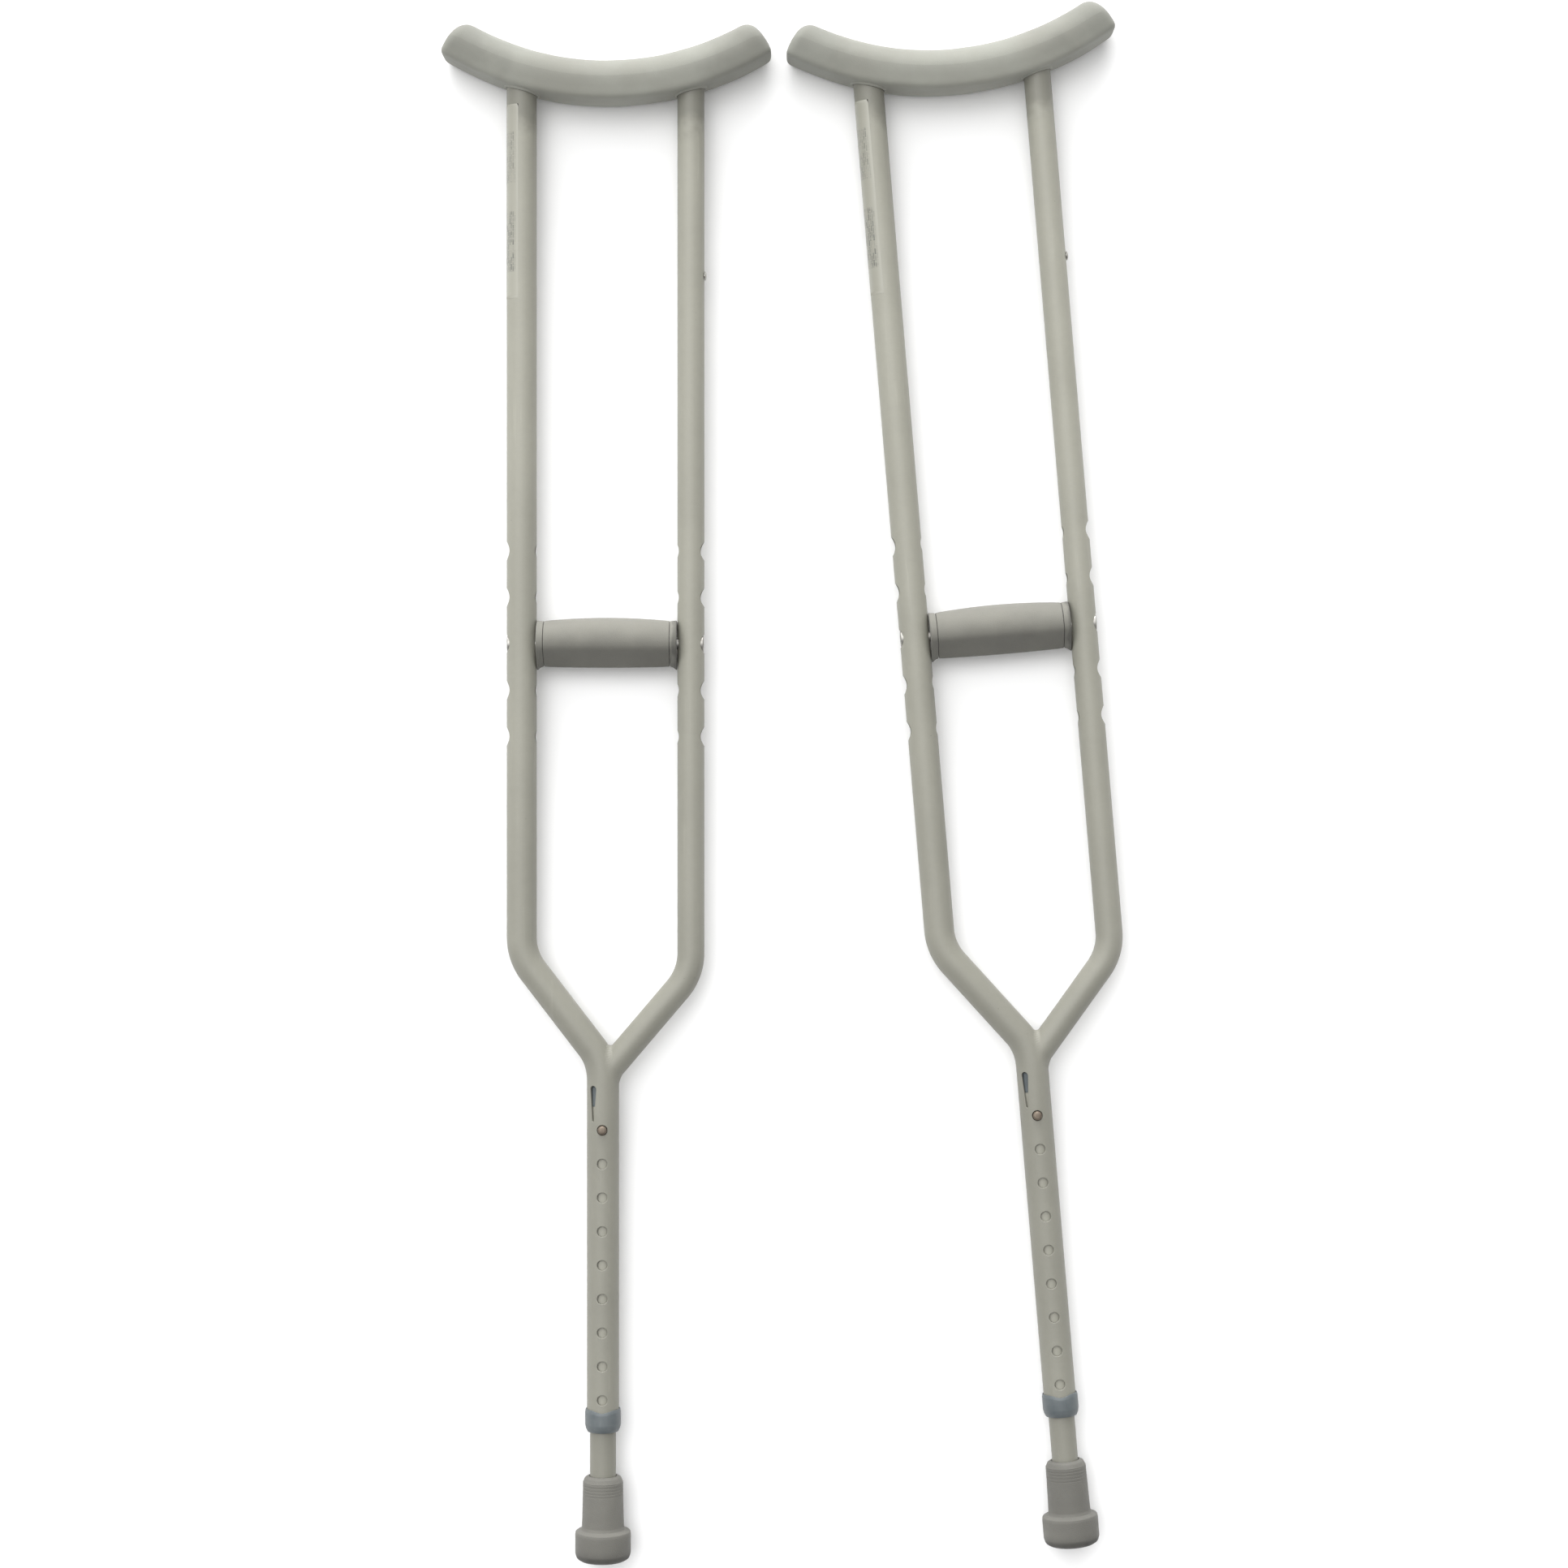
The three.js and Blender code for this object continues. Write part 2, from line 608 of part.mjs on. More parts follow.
function rubberTip() {
  const boreR = EXTENSION_R + CLEARANCE;
  return turned([
    [0, 0], [TIP_R - 2.4, 0], [TIP_R - 0.7, 1], [TIP_R, 3.2], [TIP_R, TIP_BASE - 2], [TIP_R - 1.6, TIP_BASE],
    [TIP_NECK_R + 0.6, TIP_BASE + 1.4], [TIP_NECK_R, TIP_BASE + 4], [TIP_NECK_R - 0.5, TIP_TOP_Y - 8],
    [TIP_NECK_R - 1.6, TIP_TOP_Y - 2.6], [TIP_NECK_R - 3.6, TIP_TOP_Y], [boreR, TIP_TOP_Y],
    [boreR, TIP_FLOOR], [0, TIP_FLOOR],
  ], 24);
}

function tipWasher() {
  return ring(3.2, EXTENSION_R - 0.2, TIP_FLOOR + CLEARANCE / 2, EXTENSION_END_Y - CLEARANCE / 2, 18);
}

// ---- Finishes ----

const STEEL_PAINT = { color: 0xaeada2, roughness: 0.45, metalness: 0.35 };
const BARE_STEEL = { color: 0x9a9894, roughness: 0.35, metalness: 0.9 };
const PAD_RUBBER = { color: 0xa9aba4, roughness: 0.8, metalness: 0 };
const GRIP_RUBBER = { color: 0x9b9a8e, roughness: 0.75, metalness: 0 };
const TIP_RUBBER = { color: 0x6d6964, roughness: 0.85, metalness: 0 };
const COLLAR_PLASTIC = { color: 0x4d5b63, roughness: 0.3, metalness: 0 };
const WHITE_PLASTIC = { color: 0xc9c8bf, roughness: 0.5, metalness: 0 };
const BRONZE = { color: 0x7b6146, roughness: 0.4, metalness: 0.8 };
const LABEL_FILM = { color: 0xc4c3ba, roughness: 0.35, metalness: 0 };

// ---- The pair ----

const pieces = [
  ['main_tube', mainTube(), STEEL_PAINT],
  ['side_tube', sideTube(), STEEL_PAINT],
  ['fork_weld', forkWeld(), STEEL_PAINT],
  ['rail_rivet', railRivet(), BARE_STEEL],
  ['rail_label', railLabel(), LABEL_FILM],
  ['left_rail_plug', railPlug(MAIN_R, MAIN_WALL).translate(LEFT_RAIL_X, 0, 0), WHITE_PLASTIC],
  ['right_rail_plug', railPlug(SIDE_R, SIDE_WALL).translate(RIGHT_RAIL_X, 0, 0), WHITE_PLASTIC],
  ['pad_yoke', padYoke(), BARE_STEEL],
  ['left_yoke_screw', yokeScrew().translate(LEFT_RAIL_X, 0, 0), BARE_STEEL],
  ['right_yoke_screw', yokeScrew().translate(RIGHT_RAIL_X, 0, 0), BARE_STEEL],
  ['underarm_pad', underarmPad(), PAD_RUBBER],
  ['grip_core', gripCore().translate(0, GRIP_Y, 0), BARE_STEEL],
  ['grip_sleeve', gripSleeve().translate(0, GRIP_Y, 0), GRIP_RUBBER],
  ['grip_left_cap', gripCap(-1).translate(0, GRIP_Y, 0), GRIP_RUBBER],
  ['grip_right_cap', gripCap(1).translate(0, GRIP_Y, 0), GRIP_RUBBER],
  ['grip_left_nut', gripNut(-1).translate(0, GRIP_Y, 0), BARE_STEEL],
  ['grip_right_nut', gripNut(1).translate(0, GRIP_Y, 0), BARE_STEEL],
  ['grip_left_bolt', gripBolt(-1).translate(0, GRIP_Y, 0), BARE_STEEL],
  ['grip_right_bolt', gripBolt(1).translate(0, GRIP_Y, 0), BARE_STEEL],
  ['extension_tube', extensionTube(), STEEL_PAINT],
  ['leg_guide', legGuide(), COLLAR_PLASTIC],
  ['push_button', pushButton(), BRONZE],
  ['button_spring', buttonSpring(), BARE_STEEL],
  ['leg_collar', legCollar(), COLLAR_PLASTIC],
  ['rubber_tip', rubberTip(), TIP_RUBBER],
  ['tip_washer', tipWasher(), BARE_STEEL],
].map(([name, geometry, finish]) => [name, closed(geometry), finish]);

function crutch(label, x, y, lean) {
  const group = new THREE.Group();
  for (const [name, geometry, finish] of pieces) {
    const mesh = new THREE.Mesh(geometry, new THREE.MeshStandardMaterial(finish));
    mesh.name = `${label}_${name}`;
    group.add(mesh);
  }
  group.position.set(x, y, TIP_R);
  group.rotation.z = lean;
  return group;
}

const pair = new THREE.Group();
pair.add(crutch('crutch1', FIRST_X, 0, 0));
pair.add(crutch('crutch2', SECOND_X, SECOND_Y, SECOND_LEAN));

// The origin goes under the middle of the pair's box.
pair.updateMatrixWorld(true);
const middle = new THREE.Box3().setFromObject(pair, true).getCenter(new THREE.Vector3());
pair.position.set(-middle.x, -middle.y, 0);

export default pair;
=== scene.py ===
import json
import math

import bmesh
import bpy
import numpy as np
from mathutils import Matrix, Vector, noise


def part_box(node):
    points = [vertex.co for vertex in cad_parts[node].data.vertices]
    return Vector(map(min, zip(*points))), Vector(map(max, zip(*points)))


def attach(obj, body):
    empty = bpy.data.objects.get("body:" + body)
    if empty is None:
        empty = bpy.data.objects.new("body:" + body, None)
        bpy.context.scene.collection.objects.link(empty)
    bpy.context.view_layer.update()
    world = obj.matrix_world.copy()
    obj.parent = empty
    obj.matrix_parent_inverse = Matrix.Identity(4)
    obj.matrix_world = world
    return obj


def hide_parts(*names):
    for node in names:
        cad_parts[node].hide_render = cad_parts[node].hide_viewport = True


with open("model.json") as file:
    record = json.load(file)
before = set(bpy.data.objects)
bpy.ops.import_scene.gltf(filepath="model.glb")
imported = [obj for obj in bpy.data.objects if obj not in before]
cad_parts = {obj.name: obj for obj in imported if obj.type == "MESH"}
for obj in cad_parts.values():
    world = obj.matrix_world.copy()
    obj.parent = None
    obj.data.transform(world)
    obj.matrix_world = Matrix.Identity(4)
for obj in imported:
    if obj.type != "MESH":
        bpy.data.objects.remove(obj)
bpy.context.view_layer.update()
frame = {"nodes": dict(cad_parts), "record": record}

# Everything is drawn in millimetres in a crutch's own axes: +Y from its sole to its pad, +X across
# the rails, +Z out of its front. piece() puts one copy on each crutch, in metres.
MM = 0.001
PAIR = ("crutch1", "crutch2")

# --- Where the crutches lie ---

mounts = {m["name"]: m for m in frame["record"]["mounts"]}


def place_of(crutch):
    sole = mounts[crutch + "_sole"]
    along = -Vector(sole["axis"]).normalized()
    up = Vector((0, 0, 1))
    across = along.cross(up).normalized()
    turn = Matrix((across, along, up)).transposed().to_4x4()
    return Matrix.Translation(Vector(sole["pos_m"])) @ turn


PLACE = {crutch: place_of(crutch) for crutch in PAIR}


def local_box(node):
    """A node's lowest and highest corners on the first crutch, in its own axes, in millimetres."""
    low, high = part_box("crutch1_" + node)
    back = PLACE["crutch1"].inverted()
    a, b = back @ low, back @ high
    return [min(p, q) / MM for p, q in zip(a, b)], [max(p, q) / MM for p, q in zip(a, b)]


main_low, main_high = local_box("main_tube")
side_high = local_box("side_tube")[1]
ext_low, ext_high = local_box("extension_tube")
tip_high = local_box("rubber_tip")[1]
collar_low, collar_high = local_box("leg_collar")
sleeve_low, sleeve_high = local_box("grip_sleeve")
pad_low, pad_high = local_box("underarm_pad")
button_low, button_high = local_box("push_button")
label_low, label_high = local_box("rail_label")
rivet_low, rivet_high = local_box("rail_rivet")
left_bolt_low, left_bolt_high = local_box("grip_left_bolt")
right_bolt_low, right_bolt_high = local_box("grip_right_bolt")

# Tubes: the main one narrows from the leg's radius to its rail's, and the side one is the right rail.
LEG_R, MAIN_R, SIDE_R = main_high[2], 11.3, side_high[2]
EXT_R = (ext_high[0] - ext_low[0]) / 2
MAIN_WALL, SIDE_WALL, EXT_WALL = 1.6, 1.5, 1.2
LEG_END_Y = main_low[1]
RAIL_TOP_Y = main_high[1] + 2.0
LEFT_RAIL_X = main_low[0] + MAIN_R
RIGHT_RAIL_X = side_high[0] - SIDE_R
MAIN_FORK_Y, MAIN_SHOULDER_Y = 378.0, 458.0
SIDE_FORK_Y, SIDE_SHOULDER_Y = 367.0, 445.0
BEND_R = 42.0

# Holes
BUTTON_Y = (button_low[1] + button_high[1]) / 2
HOLE_PITCH, LEG_HOLES, LEG_HOLE_R = 25.4, 9, 3.9
GRIP_Y = (sleeve_low[1] + sleeve_high[1]) / 2
GRIP_PITCH, GRIP_HOLES_EACH_WAY = 35.0, 2
ACCESS_R, SHANK_R = 7.0, 4.5
SLOT_Y, SLOT_TOP_R, SLOT_FOOT_R, SLOT_APART = 358.0, 2.8, 0.9, 23.3

# Handgrip, between the rails' inner sides
GRIP_LEFT_X, GRIP_RIGHT_X = LEFT_RAIL_X + MAIN_R, RIGHT_RAIL_X - SIDE_R
CAP = 5.6
CORE_BORE = 11.5
GRIP_END_R, GRIP_MID_R = 17.3, sleeve_high[1] - GRIP_Y
GRIP_LIFT = 0.8  # how much more the crown stands out above the core than below it
HORN = -0.3  # how far the caps reach past the rails' inner sides
GRIP_COLUMNS = 96

# Underarm pad: two arcs about one centre. The crest is where its section is deepest, -1 to 1 across.
PAD_CENTRE_X, PAD_CENTRE_Y, PAD_LOWER_R, PAD_UPPER_R = 3.0, 1342.3, 239.8, 208.2
PAD_HALF_ANGLE = math.radians(31.62)
PAD_DEPTH = pad_high[2] - pad_low[2]
PAD_CREST = 0.12

# Painted shade on the tubes (darker towards the bottom, and in the pad's shadow just below it), and the
# label's two printed blocks: middle on the rail, half length, strength
FALLOFF_DARK_Y, FALLOFF_LIT_Y = 330.0, 920.0
PAD_SHADOW_FROM_Y, PAD_SHADOW_FULL_Y = 1074.0, 1096.0
LABEL_BLOCKS = ((996.5, 23.5, 1.0), (1060.0, 20.0, 0.7))

# --- Materials ---


def linear(r, g, b, k=1.0):
    """A display colour as linear light, k times as bright."""

    def one(c):
        c /= 255
        return k * (c / 12.92 if c <= 0.04045 else ((c + 0.055) / 1.055) ** 2.4)

    return (one(r), one(g), one(b), 1.0)


def paint_tone(k):
    return linear(151, 150, 139, k)


class Finish:
    """One procedural material. Its helpers add a node and return its output."""

    def __init__(self, name):
        self.material = bpy.data.materials.new(name)
        self.material.use_nodes = True
        self.tree = self.material.node_tree
        self.tree.nodes.clear()
        self.shader = self.tree.nodes.new("ShaderNodeBsdfPrincipled")
        out = self.tree.nodes.new("ShaderNodeOutputMaterial")
        self.tree.links.new(self.shader.outputs[0], out.inputs[0])
        # here is the place on the crutch; coords is moved on the second one, so the grain differs.
        self.here = self.tree.nodes.new("ShaderNodeTexCoord").outputs["Object"]
        seed = self.tree.nodes.new("ShaderNodeAttribute")
        seed.attribute_type = "OBJECT"
        seed.attribute_name = "grain_seed"
        shift = self.tree.nodes.new("ShaderNodeVectorMath")
        shift.operation = "ADD"
        self.tree.links.new(self.here, shift.inputs[0])
        self.tree.links.new(seed.outputs["Vector"], shift.inputs[1])
        self.coords = shift.outputs[0]

    def put(self, socket, value):
        if isinstance(value, bpy.types.NodeSocket):
            self.tree.links.new(value, socket)
        elif socket.type == "RGBA" and isinstance(value, (int, float)):
            socket.default_value = (value, value, value, 1)
        else:
            socket.default_value = value

    def set(self, **values):
        for name, value in values.items():
            self.put(self.shader.inputs[name.replace("_", " ")], value)

    def colour_so_far(self):
        return self.shader.inputs["Base Color"].links[0].from_socket

    def stretched(self, x, y, z):
        node = self.tree.nodes.new("ShaderNodeMapping")
        self.put(node.inputs["Vector"], self.coords)
        node.inputs["Scale"].default_value = (x, y, z)
        return node.outputs[0]

    def noise(self, scale, detail=3.0, roughness=0.5, vector=None):
        node = self.tree.nodes.new("ShaderNodeTexNoise")
        self.put(node.inputs["Vector"], vector or self.coords)
        node.inputs["Scale"].default_value = scale
        node.inputs["Detail"].default_value = detail
        node.inputs["Roughness"].default_value = roughness
        return node.outputs["Fac"]

    def cells(self, scale):
        node = self.tree.nodes.new("ShaderNodeTexVoronoi")
        self.put(node.inputs["Vector"], self.coords)
        node.inputs["Scale"].default_value = scale
        return node.outputs["Distance"]

    def level(self, value, low, high, to_low=0.0, to_high=1.0, smooth=True):
        node = self.tree.nodes.new("ShaderNodeMapRange")
        node.interpolation_type = "SMOOTHSTEP" if smooth else "LINEAR"
        self.put(node.inputs["Value"], value)
        keys = ("From Min", "From Max", "To Min", "To Max")
        for key, number in zip(keys, (low, high, to_low, to_high)):
            node.inputs[key].default_value = number
        return node.outputs["Result"]

    def level_mm(self, value, low, high, to_low=0.0, to_high=1.0, smooth=True):
        """Like level, for a place on the crutch, with low and high in millimetres."""
        return self.level(value, low * MM, high * MM, to_low, to_high, smooth)

    def math(self, operation, a, b=0.0):
        node = self.tree.nodes.new("ShaderNodeMath")
        node.operation = operation
        self.put(node.inputs[0], a)
        self.put(node.inputs[1], b)
        return node.outputs[0]

    def plus(self, a, b):
        return self.math("ADD", a, b)

    def product(self, a, b):
        return self.math("MULTIPLY", a, b)

    def smeared(self, value, scale, detail, reach):
        """A place moved to and fro by up to reach millimetres, for a ragged edge."""
        return self.plus(value, self.level(self.noise(scale, detail), 0.3, 0.7, -reach * MM, reach * MM))

    def mix(self, amount, a, b, blend="MIX"):
        node = self.tree.nodes.new("ShaderNodeMix")
        node.data_type = "RGBA"
        node.blend_type = blend
        self.put(node.inputs[0], amount)
        self.put(node.inputs[6], a)
        self.put(node.inputs[7], b)
        return node.outputs[2]

    def times(self, colour, by):
        return self.mix(1.0, colour, by, "MULTIPLY")

    def axis(self, which, source=None):
        node = self.tree.nodes.new("ShaderNodeSeparateXYZ")
        self.put(node.inputs[0], source or self.here)
        return node.outputs[which]

    def uv(self):
        return self.tree.nodes.new("ShaderNodeTexCoord").outputs["UV"]

    def bump(self, height, distance, strength=1.0, below=None):
        node = self.tree.nodes.new("ShaderNodeBump")
        self.put(node.inputs["Height"], height)
        node.inputs["Distance"].default_value = distance
        node.inputs["Strength"].default_value = strength
        if below is not None:
            self.put(node.inputs["Normal"], below)
        return node.outputs[0]


def powder_coat(name, lowest=0.72):
    """Satin powder coat: orange peel, a faint mottle, worn streaks along the tube and small chips, with
    painted shade towards the bottom and below the pad.
    """
    f = Finish(name)
    broad = f.noise(11, 4, 0.55)
    mottle = f.noise(170, 4, 0.7)
    streaks = f.noise(260, 4, 0.6, f.stretched(1, 0.06, 1))
    rub = f.product(f.level(streaks, 0.56, 0.72), f.level(broad, 0.42, 0.6))
    chips = f.product(f.level(f.cells(230), 0.1, 0.04), f.level(f.noise(34, 2), 0.6, 0.68))
    colour = f.mix(f.level(broad, 0.3, 0.7), paint_tone(0.95), paint_tone(1.04))
    colour = f.mix(f.level(mottle, 0.3, 0.7), f.times(colour, 0.965), colour)
    colour = f.mix(f.product(rub, 0.35), colour, paint_tone(1.2))
    colour = f.mix(f.product(chips, 0.6), colour, linear(96, 93, 87))
    # Painted shade: the paint darkens towards the bottom, standing in for the light falling off away from the
    # pads.
    colour = f.times(colour, f.level_mm(f.axis(1), FALLOFF_DARK_Y, FALLOFF_LIT_Y, lowest, 1.0, smooth=False))
    # Painted shadow of the pad on the tubes, just below where they go into it, with a ragged edge.
    pad_shadow_line = f.smeared(f.axis(1), 60, 3, 6.0)
    colour = f.times(colour, f.level_mm(pad_shadow_line, PAD_SHADOW_FROM_Y, PAD_SHADOW_FULL_Y, 1.0, 0.68))
    peel = f.bump(f.noise(620, 2, 0.4), 0.00007)
    peel = f.bump(f.noise(2600, 2, 0.5), 0.000012, 0.7, peel)
    peel = f.bump(f.math("SUBTRACT", 1.0, chips), 0.00008, 1.0, peel)
    rough = f.plus(f.level(mottle, 0.3, 0.7, 0.46, 0.56), f.product(rub, -0.07))
    f.set(
        Base_Color=colour, Roughness=rough, Normal=peel, Coat_Weight=0.06, Coat_Roughness=0.35,
        Specular_IOR_Level=0.4,
    )
    return f


def leg_paint():
    """The tubes' paint with deeper painted shade where the extension stands out of the leg, and painted light
    that brightens it where it hides in the leg, so the holes show less dark.
    """
    f = powder_coat("leg_powder_coat", 0.66)
    # Painted light: the extension is brightened where it hides in the leg, lifting the shade inside the
    # holes.
    inside_fill_light = f.level_mm(f.axis(1), LEG_END_Y + 3, LEG_END_Y + 13, 1.0, 1.5)
    f.set(Base_Color=f.times(f.colour_so_far(), inside_fill_light))
    return f


def rubber(name, base, dark, grain, depth, rough=(0.72, 0.88), sheen=0.12):
    """Moulded rubber or foam: a pored skin, soft mottling and worn, paler high spots."""
    f = Finish(name)
    broad = f.noise(16, 4, 0.55)
    middle = f.noise(120, 4, 0.6)
    pores = f.cells(grain)
    fine = f.noise(grain * 1.6, 3, 0.6)
    colour = f.mix(f.level(broad, 0.3, 0.72), dark, base)
    colour = f.mix(f.level(middle, 0.35, 0.7, 0.0, 0.25), colour, f.times(colour, 1.12))
    colour = f.mix(f.level(pores, 0.0, 0.35, 0.35, 0.0), colour, dark)
    skin = f.bump(middle, 0.00012, 0.6)
    skin = f.bump(f.level(pores, 0.05, 0.5), depth, 0.8, skin)
    skin = f.bump(fine, depth * 0.6, 0.7, skin)
    f.set(
        Base_Color=colour, Roughness=f.level(middle, 0.3, 0.7, *rough), Normal=skin,
        Sheen_Weight=sheen, Sheen_Roughness=0.6, Specular_IOR_Level=0.35,
    )
    return f


def pad_rubber():
    """Soft moulded rubber, paler along its lower side as painted light that lifts the shade there, and darker
    at the handled ends.
    """
    f = rubber("pad_rubber", linear(140, 141, 133), linear(130, 130, 122), 1300, 0.00007)
    x = f.plus(f.axis(0), -PAD_CENTRE_X * MM)
    y = f.plus(f.axis(1), -PAD_CENTRE_Y * MM)
    from_centre = f.math("SQRT", f.plus(f.product(x, x), f.product(y, y)))
    # Painted light: the lower side is made paler to lift its shade.
    lower_side_fill_light = f.level_mm(from_centre, PAD_LOWER_R - 9.8, PAD_LOWER_R - 1.3, 1.0, 1.16)
    handled = f.level_mm(f.smeared(f.math("ABSOLUTE", x), 45, 4, 12.0), 55, 110, 1.0, 0.82)
    f.set(Base_Color=f.times(f.times(f.colour_so_far(), lower_side_fill_light), handled))
    return f


def tip_rubber():
    """Firm grey rubber, dirtier towards the sole, with painted shade round the sole's edge."""
    f = rubber("tip_rubber", linear(106, 105, 99), linear(95, 94, 89), 900, 0.00008, (0.6, 0.8), 0.05)
    y = f.axis(1)
    smudge = f.noise(90, 5, 0.65)
    dirt = f.product(f.level_mm(y, 14, 2), f.level(smudge, 0.35, 0.6, 0.55, 1.0))
    colour = f.mix(f.product(dirt, 0.75), f.colour_so_far(), linear(66, 65, 62))
    # Painted shade: a darker band round the sole's rounded edge.
    edge = f.plus(y, f.level(smudge, 0.3, 0.7, -0.6 * MM, 0.6 * MM))
    f.set(Base_Color=f.times(colour, f.level_mm(edge, 5.5, 8.2, 0.72, 1.0)))
    return f


def grip_rubber():
    """Closed foam with painted shade on its lower side and in the gap at its right-hand end."""
    f = rubber("grip_rubber", linear(126, 125, 117), linear(117, 116, 109), 1100, 0.00009)
    # Painted shade: the lower side is darkened as if turned from the light.
    lower_side_shade = f.level_mm(f.smeared(f.axis(1), 70, 4, 1.5), GRIP_Y - 9, GRIP_Y + 13, 0.66, 1.0)
    across = f.smeared(f.axis(0), 70, 4, 1.5)
    # Painted shade in the dark gap between the right-hand end and its rail.
    end = f.level_mm(across, GRIP_RIGHT_X - 4.5, GRIP_RIGHT_X - 1.5, 1.0, 0.62)
    f.set(Base_Color=f.times(f.times(f.colour_so_far(), lower_side_shade), end))
    return f


def plastic(name, base, dark, rough, coat=0.0):
    """Moulded plastic: a very fine grain, a soft cloudiness and hairline scuffs."""
    f = Finish(name)
    cloud = f.noise(60, 4, 0.6)
    hair = f.noise(900, 3, 0.6, f.stretched(1, 0.08, 0.6))
    colour = f.mix(f.level(cloud, 0.3, 0.7), dark, base)
    colour = f.mix(f.level(hair, 0.6, 0.72, 0.0, 0.3), colour, f.times(colour, 1.25))
    skin = f.bump(f.noise(1800, 2, 0.5), 0.000015, 0.8)
    skin = f.bump(hair, 0.00001, 0.5, skin)
    f.set(
        Base_Color=colour, Roughness=f.level(cloud, 0.3, 0.7, *rough), Normal=skin,
        Coat_Weight=coat, Coat_Roughness=0.15,
    )
    return f


def plated(name, base, dark, rough, lengthways=(1, 0.05, 1)):
    """Plated steel: drawn lines, cloudy plating and spots of tarnish."""
    f = Finish(name)
    cloud = f.noise(140, 5, 0.6)
    drawn = f.noise(1400, 3, 0.6, f.stretched(*lengthways))
    spots = f.level(f.noise(420, 4, 0.7), 0.62, 0.74)
    colour = f.mix(f.level(cloud, 0.3, 0.7), dark, base)
    colour = f.mix(f.product(spots, 0.5), colour, f.times(colour, 0.6))
    skin = f.bump(drawn, 0.00001, 0.6)
    f.set(
        Base_Color=colour, Metallic=1.0, Normal=f.bump(cloud, 0.00003, 0.4, skin),
        Roughness=f.plus(f.level(drawn, 0.3, 0.7, *rough), f.product(spots, 0.15)),
    )
    return f


def label_film():
    """Clear wrap film on the paint with a faint generic print: broken grey bars in two blocks, no letters."""
    f = Finish("label_film")
    plain = f.mix(f.level(f.noise(14, 3), 0.3, 0.7), paint_tone(0.97), paint_tone(1.03))
    # The film's UV is in centimetres: along the rail, then round it from the front.
    bars = f.tree.nodes.new("ShaderNodeTexBrick")
    f.put(bars.inputs["Vector"], f.uv())
    bars.offset, bars.offset_frequency, bars.squash = 0.37, 2, 1.0
    ink, bare = (1, 1, 1, 1), (0, 0, 0, 1)
    for name, value in (
        ("Scale", 1.0), ("Brick Width", 0.52), ("Row Height", 0.165), ("Mortar Size", 0.032),
        ("Mortar Smooth", 0.3), ("Bias", -0.15), ("Color1", ink), ("Color2", bare), ("Mortar", bare),
    ):
        bars.inputs[name].default_value = value
    printed = f.product(bars.outputs["Color"], f.level(f.axis(1, f.uv()), 0.15, 0.4))
    block = 0.0
    for middle, half, strength in LABEL_BLOCKS:
        away = f.math("ABSOLUTE", f.plus(f.axis(1), -middle * MM))
        block = f.math("MAXIMUM", block, f.level_mm(away, half - 2, half, strength, 0.0))
    worn = f.level(f.noise(300, 3), 0.3, 0.5, 0.3, 1.0)
    printed = f.product(printed, f.product(block, worn))
    f.set(
        Base_Color=f.mix(f.product(printed, 0.8), plain, linear(92, 94, 90)),
        Roughness=f.level(f.noise(500, 3), 0.3, 0.7, 0.3, 0.42),
        Normal=f.bump(f.noise(40, 2), 0.0002, 0.5), Coat_Weight=0.15, Coat_Roughness=0.2,
    )
    return f


FINISH = {
    "frame_paint": powder_coat("tube_powder_coat"),
    "leg_paint": leg_paint(),
    "pad_rubber": pad_rubber(),
    "grip_rubber": grip_rubber(),
    "tip_rubber": tip_rubber(),
    "collar_plastic": plastic("collar_plastic", linear(92, 98, 100), linear(78, 85, 88), (0.42, 0.55), 0.05),
    "white_plastic": plastic("white_plastic", linear(205, 204, 196), linear(192, 190, 180), (0.4, 0.55)),
    "bare_steel": plated("zinc_plated_steel", linear(172, 171, 166), linear(148, 146, 141), (0.34, 0.5)),
    "bronze": plated(
        "dull_bronze", linear(134, 124, 112), linear(116, 106, 96), (0.55, 0.7), (1, 1, 0.1),
    ),
    "label_film": label_film(),
}
FINISH = {slot: made.material for slot, made in FINISH.items()}

# --- Mesh helpers ---


class Skin:
    """Points and faces in millimetres."""

    def __init__(self):
        self.points, self.faces = [], []

    def ring(self, points):
        first = len(self.points)
        self.points.extend(tuple(p) for p in points)
        return list(range(first, len(self.points)))

    def bridge(self, a, b):
        """Faces between two rings, either of which may be a single point."""
        for i in range(max(len(a), len(b))):
            j = i + 1
            corners = (a[i % len(a)], a[j % len(a)], b[j % len(b)], b[i % len(b)])
            self.faces.append(tuple(dict.fromkeys(corners)))

    def loft(self, rings):
        for a, b in zip(rings, rings[1:]):
            self.bridge(a, b)

    def mesh(self, name, sharp=38):
        made = bpy.data.meshes.new(name)
        made.from_pydata([tuple(c * MM for c in p) for p in self.points], [], self.faces)
        outwards(made)
        smoothed(made, sharp)
        return made


def outwards(mesh):
    """Drops loose points and turns every face outwards."""
    work = bmesh.new()
    work.from_mesh(mesh)
    bmesh.ops.delete(work, geom=[v for v in work.verts if not v.link_faces], context="VERTS")
    bmesh.ops.recalc_face_normals(work, faces=work.faces)
    work.to_mesh(mesh)
    work.free()


def smoothed(mesh, sharp):
    """Smooth shading that keeps edges sharper than this many degrees."""
    mesh.polygons.foreach_set("use_smooth", [True] * len(mesh.polygons))
    mesh.set_sharp_from_angle(angle=math.radians(sharp))
    mesh.update()


def circle(x, radius, sides):
    """A ring round the x direction."""
    turns = [2 * math.pi * k / sides for k in range(sides)]
    return [(x, radius * math.cos(a), radius * math.sin(a)) for a in turns]


